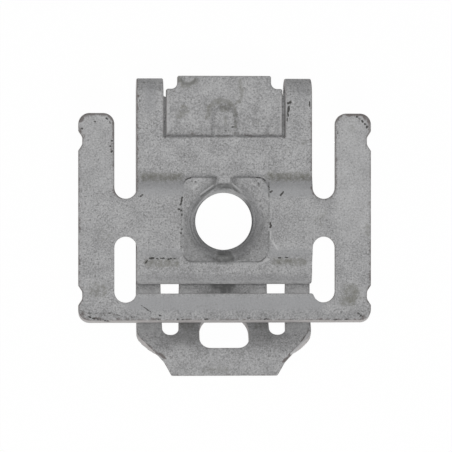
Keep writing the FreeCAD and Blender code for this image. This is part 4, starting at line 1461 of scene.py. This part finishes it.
        # the dish and the rims get painted shade; the bore gets painted shade and painted highlights of its
        # own
        dish = self.mouth_layers.dish(self.pad.inside(across, along), along)
        outer[SurfaceLayer.SHADE] = np.maximum(outer[SurfaceLayer.SHADE], front * dish)
        outer[SurfaceLayer.RIM] = np.maximum(outer[SurfaceLayer.RIM], rim)
        inner[SurfaceLayer.RIM] = np.maximum(inner[SurfaceLayer.RIM], outer[SurfaceLayer.RIM] * self.inner_rim_dark)
        outer[SurfaceLayer.CUT] = inner[SurfaceLayer.CUT] = cut
        dark, painted_light = self.mouth_layers.shares(wall, groove, self.pad.bore_radius)
        bore = {SurfaceLayer.SHADE: dark, SurfaceLayer.PAINTED_LIGHT: painted_light, SurfaceLayer.SMOOTH_SHADE: np.full(len(wall), self.bore_smooth_shade)}
        for kind in SurfaceLayer:
            shares = [side.get(kind, np.zeros(size))
                      for side, size in ((outer, len(corners)), (inner, len(corners)), (bore, len(wall)))]
            layer = mesh.attributes.new(kind.value, "FLOAT", "POINT")
            layer.data.foreach_set("value", np.concatenate(shares).astype(np.float32))

    def dress(self, piece: bpy.types.Object, finish: "PhosphateCoat") -> None:
        """Coat the nut and put it in the frame.

        Args:
            piece: the nut's object.
            finish: its coat.
        """
        piece.data.materials.append(finish.material())
        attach(piece, "root")
        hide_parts("clip_nut")


@dataclass(frozen=True)
class Pattern:
    """A cloudy pattern: waves per millimetre, how many finer waves it has, and how strong those are."""

    scale: float
    detail: float
    roughness: float


@dataclass(frozen=True)
class RaggedEdge:
    """How far a pattern breaks up the edge of a stain, of dark specks or of the rims' painted shade, and
    the range in which it sets in.
    """

    sway: float
    low: float
    high: float


@dataclass(frozen=True)
class PhosphateCoat:
    """A dull grey crystal coat on steel, stained in the creases, with pale cut faces, dark specks, painted
    shade on the rims, slopes and hollows, and painted highlights.
    """

    pale: Colour = (0.375, 0.375, 0.378)
    deep: Colour = (0.19, 0.19, 0.192)
    fleck: Colour = (0.11, 0.11, 0.108)
    glint: Colour = (0.48, 0.48, 0.485)
    # painted shade on upward slopes and bends, smooth and bluish
    smooth_shade: Colour = (0.255, 0.257, 0.263)
    stain: Colour = (0.115, 0.114, 0.095)
    # painted shade in hollows, under edges and on slopes, with a few dark stains
    shade: Colour = (0.085, 0.086, 0.085)
    dark_speck: Colour = (0.022, 0.021, 0.019)
    # painted light and painted highlights
    painted_light: Colour = (0.45, 0.45, 0.452)
    # the pale colour of the cut faces, lightened further as painted highlight since the tilted faces get
    # little light
    cut_face: Colour = (0.475, 0.452, 0.446)
    # painted shade along the rolled rims, tinted reddish
    rim: Colour = (0.079, 0.066, 0.062)
    metallic: float = 0.1
    roughness: float = 0.55
    roughness_sway: float = 0.2
    clouds: Pattern = Pattern(0.45, 2.0, 0.6)
    mottle: Pattern = Pattern(1.7, 3.0, 0.65)
    grain: Pattern = Pattern(5.2, 2.0, 0.7)
    tone_weights: tuple[float, float, float] = (0.9, 0.75, 2.1)
    tone_span: Span = (1.51, 2.26)
    flecks: Pattern = Pattern(3.6, 2.0, 0.6)
    fleck_span: Span = (0.58, 0.7)
    fleck_share: float = 0.72
    glints: Pattern = Pattern(4.6, 2.0, 0.6)
    glint_span: Span = (0.57, 0.7)
    glint_share: float = 0.48
    speckle: Pattern = Pattern(2.3, 3.0, 0.75)
    rim_breakup: Pattern = Pattern(1.5, 4.0, 0.75)
    stain_edge: RaggedEdge = RaggedEdge(2.0, 0.2, 1.0)
    rim_edge: RaggedEdge = RaggedEdge(2.6, 0.3, 0.75)
    dark_speck_edge: RaggedEdge = RaggedEdge(1.8, 0.3, 0.5)
    shade_span: Span = (0.1, 0.55)
    smooth_shade_share: float = 0.8
    stain_share: float = 0.9
    shade_share: float = 0.92
    rim_share: float = 0.9
    painted_light_share: float = 0.68
    cut_share: float = 0.9
    pit_depth: float = 0.8
    bump_strength: float = 0.5
    bump_height: float = 0.04

    def material(self) -> bpy.types.Material:
        """Make the coat.

        Returns:
            The material, which reads the stains, specks, cut faces, painted shade and painted light kept on
            the mesh.
        """
        material = bpy.data.materials.new("phosphate_coat")
        material.use_nodes = True
        graph = Graph(material.node_tree)
        shader = material.node_tree.nodes["Principled BSDF"]
        place = graph.place()
        clouds, mottle, grain, flecks, glints, speckle, rim_breakup = (graph.noise(place, pattern) for pattern in (
            self.clouds, self.mottle, self.grain, self.flecks, self.glints, self.speckle, self.rim_breakup))
        tone: Socket | float = 0.0
        for pattern, weight in zip((clouds, mottle, grain), self.tone_weights):
            tone = graph.math("MULTIPLY_ADD", pattern, weight, tone)
        flecks = graph.spread(flecks, *self.fleck_span)
        glints = graph.spread(glints, *self.glint_span)
        stain = graph.ragged(SurfaceLayer.STAIN, speckle, self.stain_edge)
        shade = graph.math("MULTIPLY", graph.surface_layer(SurfaceLayer.SHADE), graph.spread(mottle, *self.shade_span))
        rim = graph.ragged(SurfaceLayer.RIM, rim_breakup, self.rim_edge)
        dark_speck = graph.ragged(SurfaceLayer.DARK_SPECK, speckle, self.dark_speck_edge)
        colour = graph.mix(graph.spread(tone, *self.tone_span), self.deep, self.pale)
        # the layers go on in turn: flecks, glints, smooth painted shade, stain, painted shade, the rims'
        # painted shade, painted light, cut faces and dark specks
        for cover, share, over in (
                (flecks, self.fleck_share, self.fleck), (glints, self.glint_share, self.glint),
                (graph.surface_layer(SurfaceLayer.SMOOTH_SHADE), self.smooth_shade_share, self.smooth_shade),
                (stain, self.stain_share, self.stain), (shade, self.shade_share, self.shade),
                (rim, self.rim_share, self.rim), (graph.surface_layer(SurfaceLayer.PAINTED_LIGHT), self.painted_light_share, self.painted_light),
                (graph.surface_layer(SurfaceLayer.CUT), self.cut_share, self.cut_face), (dark_speck, 1.0, self.dark_speck)):
            colour = graph.mix(graph.math("MULTIPLY", cover, share), colour, over)
        graph.link(colour, shader.inputs["Base Color"])
        shader.inputs["Metallic"].default_value = self.metallic
        roughness = graph.math("MULTIPLY_ADD", mottle, self.roughness_sway, self.roughness)
        graph.link(roughness, shader.inputs["Roughness"])
        relief = graph.math("MULTIPLY_ADD", flecks, -self.pit_depth, grain)
        normal = graph.bump(relief, self.bump_strength, self.bump_height * MILLIMETRE)
        graph.link(normal, shader.inputs["Normal"])
        return material


@dataclass(frozen=True)
class Graph:
    """A short way to write shader nodes."""

    LAYER_GAIN: ClassVar[float] = 0.65
    LAYER_ONSET: ClassVar[float] = 0.15
    MIX_COLOURS: ClassVar[tuple[int, int]] = (6, 7)
    MIX_RESULT: ClassVar[int] = 2

    tree: bpy.types.NodeTree

    def link(self, source: Socket, target: Socket) -> None:
        """Join two sockets."""
        self.tree.links.new(source, target)

    def feed(self, value: "Socket | Colour | float", target: Socket) -> None:
        """Set a socket to a number or a colour, or join another socket to it.

        Args:
            value: the number, the colour or the other socket.
            target: the socket.
        """
        if isinstance(value, bpy.types.NodeSocket):
            self.link(value, target)
        elif isinstance(value, tuple):
            target.default_value = (*value, 1.0)
        else:
            target.default_value = value

    def place(self) -> Socket:
        """Read the place on the object.

        Returns:
            The place, in millimetres.
        """
        coordinates = self.tree.nodes.new("ShaderNodeTexCoord")
        mapping = self.tree.nodes.new("ShaderNodeMapping")
        mapping.inputs["Scale"].default_value = (1.0 / MILLIMETRE,) * 3
        self.link(coordinates.outputs["Object"], mapping.inputs["Vector"])
        return mapping.outputs["Vector"]

    def noise(self, place: Socket, pattern: Pattern) -> Socket:
        """Make a cloudy pattern.

        Args:
            place: the place on the object.
            pattern: what the pattern is like.

        Returns:
            The pattern's value, from 0 to 1.
        """
        node = self.tree.nodes.new("ShaderNodeTexNoise")
        self.link(place, node.inputs["Vector"])
        node.inputs["Scale"].default_value = pattern.scale
        node.inputs["Detail"].default_value = pattern.detail
        node.inputs["Roughness"].default_value = pattern.roughness
        return node.outputs["Fac"]

    def math(self, operation: str, *values: "Socket | float") -> Socket:
        """Work out a number from others.

        Args:
            operation: Blender's name for what is worked out.
            values: the numbers, in the order of the node's sockets.

        Returns:
            The result.
        """
        node = self.tree.nodes.new("ShaderNodeMath")
        node.operation = operation
        for value, target in zip(values, node.inputs):
            self.feed(value, target)
        return node.outputs[0]

    def spread(self, value: Socket, low: float, high: float) -> Socket:
        """Spread a range of values over 0 to 1.

        Args:
            value: the value.
            low: what becomes 0.
            high: what becomes 1.

        Returns:
            The result, kept within 0 and 1.
        """
        node = self.tree.nodes.new("ShaderNodeMapRange")
        self.link(value, node.inputs["Value"])
        node.inputs["From Min"].default_value = low
        node.inputs["From Max"].default_value = high
        return node.outputs["Result"]

    def mix(self, share: Socket, first: "Socket | Colour", second: "Socket | Colour") -> Socket:
        """Mix two colours.

        Args:
            share: share of the second colour.
            first: the first colour.
            second: the second colour.

        Returns:
            The mixed colour.
        """
        node = self.tree.nodes.new("ShaderNodeMix")
        node.data_type = "RGBA"
        self.feed(share, node.inputs[0])
        for colour, socket in zip((first, second), self.MIX_COLOURS):
            self.feed(colour, node.inputs[socket])
        return node.outputs[self.MIX_RESULT]

    def surface_layer(self, kind: SurfaceLayer) -> Socket:
        """Read one of the layers kept on the mesh: stain, specks, cut face, painted shade or painted light.

        Args:
            kind: the kind.

        Returns:
            How strong it is.
        """
        node = self.tree.nodes.new("ShaderNodeAttribute")
        node.attribute_name = kind.value
        return node.outputs["Fac"]

    def ragged(self, kind: SurfaceLayer, pattern: Socket, edge: RaggedEdge) -> Socket:
        """Read a kept layer, such as a stain or the rims' painted shade, and let a pattern break up its
        edge.

        Args:
            kind: the kind.
            pattern: the pattern.
            edge: what the edge is like.

        Returns:
            How strong the layer is, from 0 to 1.
        """
        kept = self.surface_layer(kind)
        sway = self.math("MULTIPLY_ADD", pattern, edge.sway, -0.5 * edge.sway)
        swayed = self.math("MULTIPLY_ADD", kept, self.LAYER_GAIN, sway)
        onset = self.spread(kept, 0.0, self.LAYER_ONSET)
        return self.math("MULTIPLY", self.spread(swayed, edge.low, edge.high), onset)

    def seen(self) -> Socket:
        """Tell what looks at a surface.

        Returns:
            1 where the camera, a reflection or glass looks at it, and 0 where light bounces.
        """
        path = self.tree.nodes.new("ShaderNodeLightPath")
        mirrored = self.math("MAXIMUM", path.outputs["Is Glossy Ray"], path.outputs["Is Transmission Ray"])
        return self.math("MAXIMUM", path.outputs["Is Camera Ray"], mirrored)

    def bump(self, height: Socket, strength: float, distance: float) -> Socket:
        """Make a surface rough.

        Args:
            height: height of the relief.
            strength: how much of the relief shows.
            distance: depth of the relief, in metres.

        Returns:
            The normal.
        """
        node = self.tree.nodes.new("ShaderNodeBump")
        node.inputs["Strength"].default_value = strength
        node.inputs["Distance"].default_value = distance
        self.link(height, node.inputs["Height"])
        return node.outputs["Normal"]


@dataclass(frozen=True)
class Lamp:
    """A soft square lamp that looks at the nut; its sizes are in metres and watts."""

    name: str
    place: tuple[float, float, float]
    size: float
    power: float

    def build(self) -> None:
        """Hang the lamp."""
        data = bpy.data.lights.new(self.name, "AREA")
        data.size = self.size
        data.energy = self.power
        lamp = bpy.data.objects.new(self.name, data)
        lamp.location = self.place
        lamp.rotation_euler = (-Vector(self.place)).to_track_quat("-Z", "Y").to_euler()
        bpy.context.scene.collection.objects.link(lamp)


@dataclass(frozen=True)
class Studio:
    """A pale floor, soft lamps, and a camera above the nut that leans a little to its left."""

    camera_across: float = 0.15
    camera_along: float = -0.54
    camera_height: float = 337.5
    camera_lean: float = 3.6
    camera_clip: Span = (0.005, 20.0)
    frame_width: float = 51.98
    leaf_level: float = 4.2
    sensor: float = 36.0
    floor_half: float = 1.5
    floor_drop: float = 0.02
    floor_colour: Colour = (0.9, 0.9, 0.9)
    floor_roughness: float = 0.9
    floor_glow: float = 0.97
    world_light: float = 0.32
    lamps: tuple[Lamp, ...] = (
        Lamp("front_lamp", (-0.03, 0.012, 0.5), 0.06, 1.13),
        Lamp("low_lamp", (0.03, -0.27, 0.34), 0.2, 0.5))

    def build(self) -> None:
        """Make the camera, the floor, the world and the lamps."""
        self.camera()
        self.floor()
        self.world()
        for lamp in self.lamps:
            lamp.build()

    def camera(self) -> None:
        """Put the camera above the nut and aim it at the front leaf."""
        distance = self.camera_height - self.leaf_level
        data = bpy.data.cameras.new("camera")
        data.sensor_width = self.sensor
        data.lens = self.sensor * distance / self.frame_width
        data.clip_start, data.clip_end = self.camera_clip
        camera = bpy.data.objects.new("camera", data)
        lean = math.radians(self.camera_lean)
        aim = Vector((self.camera_across, self.camera_along, self.leaf_level))
        camera.location = (aim + distance * Vector((-math.sin(lean), 0.0, math.cos(lean)))) * MILLIMETRE
        camera.rotation_euler = (0.0, -lean, 0.0)
        bpy.context.scene.collection.objects.link(camera)
        bpy.context.scene.camera = camera

    def floor(self) -> None:
        """Lay a white floor that keeps a faint shadow."""
        reach = self.floor_half
        mesh = bpy.data.meshes.new("floor")
        corners = [(-reach, -reach, 0.0), (reach, -reach, 0.0), (reach, reach, 0.0), (-reach, reach, 0.0)]
        mesh.from_pydata(corners, [], [(0, 1, 2, 3)])
        floor = bpy.data.objects.new("floor", mesh)
        floor.location.z = -self.floor_drop * MILLIMETRE
        bpy.context.scene.collection.objects.link(floor)
        material = bpy.data.materials.new("white_floor")
        material.use_nodes = True
        nodes = material.node_tree.nodes
        graph = Graph(material.node_tree)
        shader = nodes["Principled BSDF"]
        shader.inputs["Base Color"].default_value = (*self.floor_colour, 1.0)
        shader.inputs["Roughness"].default_value = self.floor_roughness
        glow = nodes.new("ShaderNodeEmission")
        blend = nodes.new("ShaderNodeMixShader")
        graph.link(graph.math("MULTIPLY", graph.seen(), self.floor_glow), blend.inputs["Fac"])
        graph.link(shader.outputs["BSDF"], blend.inputs[1])
        graph.link(glow.outputs["Emission"], blend.inputs[2])
        graph.link(blend.outputs["Shader"], nodes["Material Output"].inputs["Surface"])
        floor.data.materials.append(material)

    def world(self) -> None:
        """Light the nut from all round, with white behind it."""
        world = bpy.data.worlds.new("studio")
        world.use_nodes = True
        graph = Graph(world.node_tree)
        back = world.node_tree.nodes["Background"]
        back.inputs["Color"].default_value = (1.0, 1.0, 1.0, 1.0)
        strength = graph.math("MULTIPLY_ADD", graph.seen(), 1.0 - self.world_light, self.world_light)
        graph.link(strength, back.inputs["Strength"])
        bpy.context.scene.world = world


def main() -> None:
    """Build the nut and its studio."""
    logging.basicConfig(level=logging.INFO, format="%(message)s")
    bpy.context.scene.view_settings.view_transform = "Standard"
    nut = ClipNut()
    piece = nut.build()
    nut.dress(piece, PhosphateCoat())
    LOG.info("%s: %d points, %d faces", piece.name, len(piece.data.vertices), len(piece.data.polygons))
    Studio().build()
    LOG.info("studio: floor, lamps and camera")


if __name__ == "__main__":
    main()
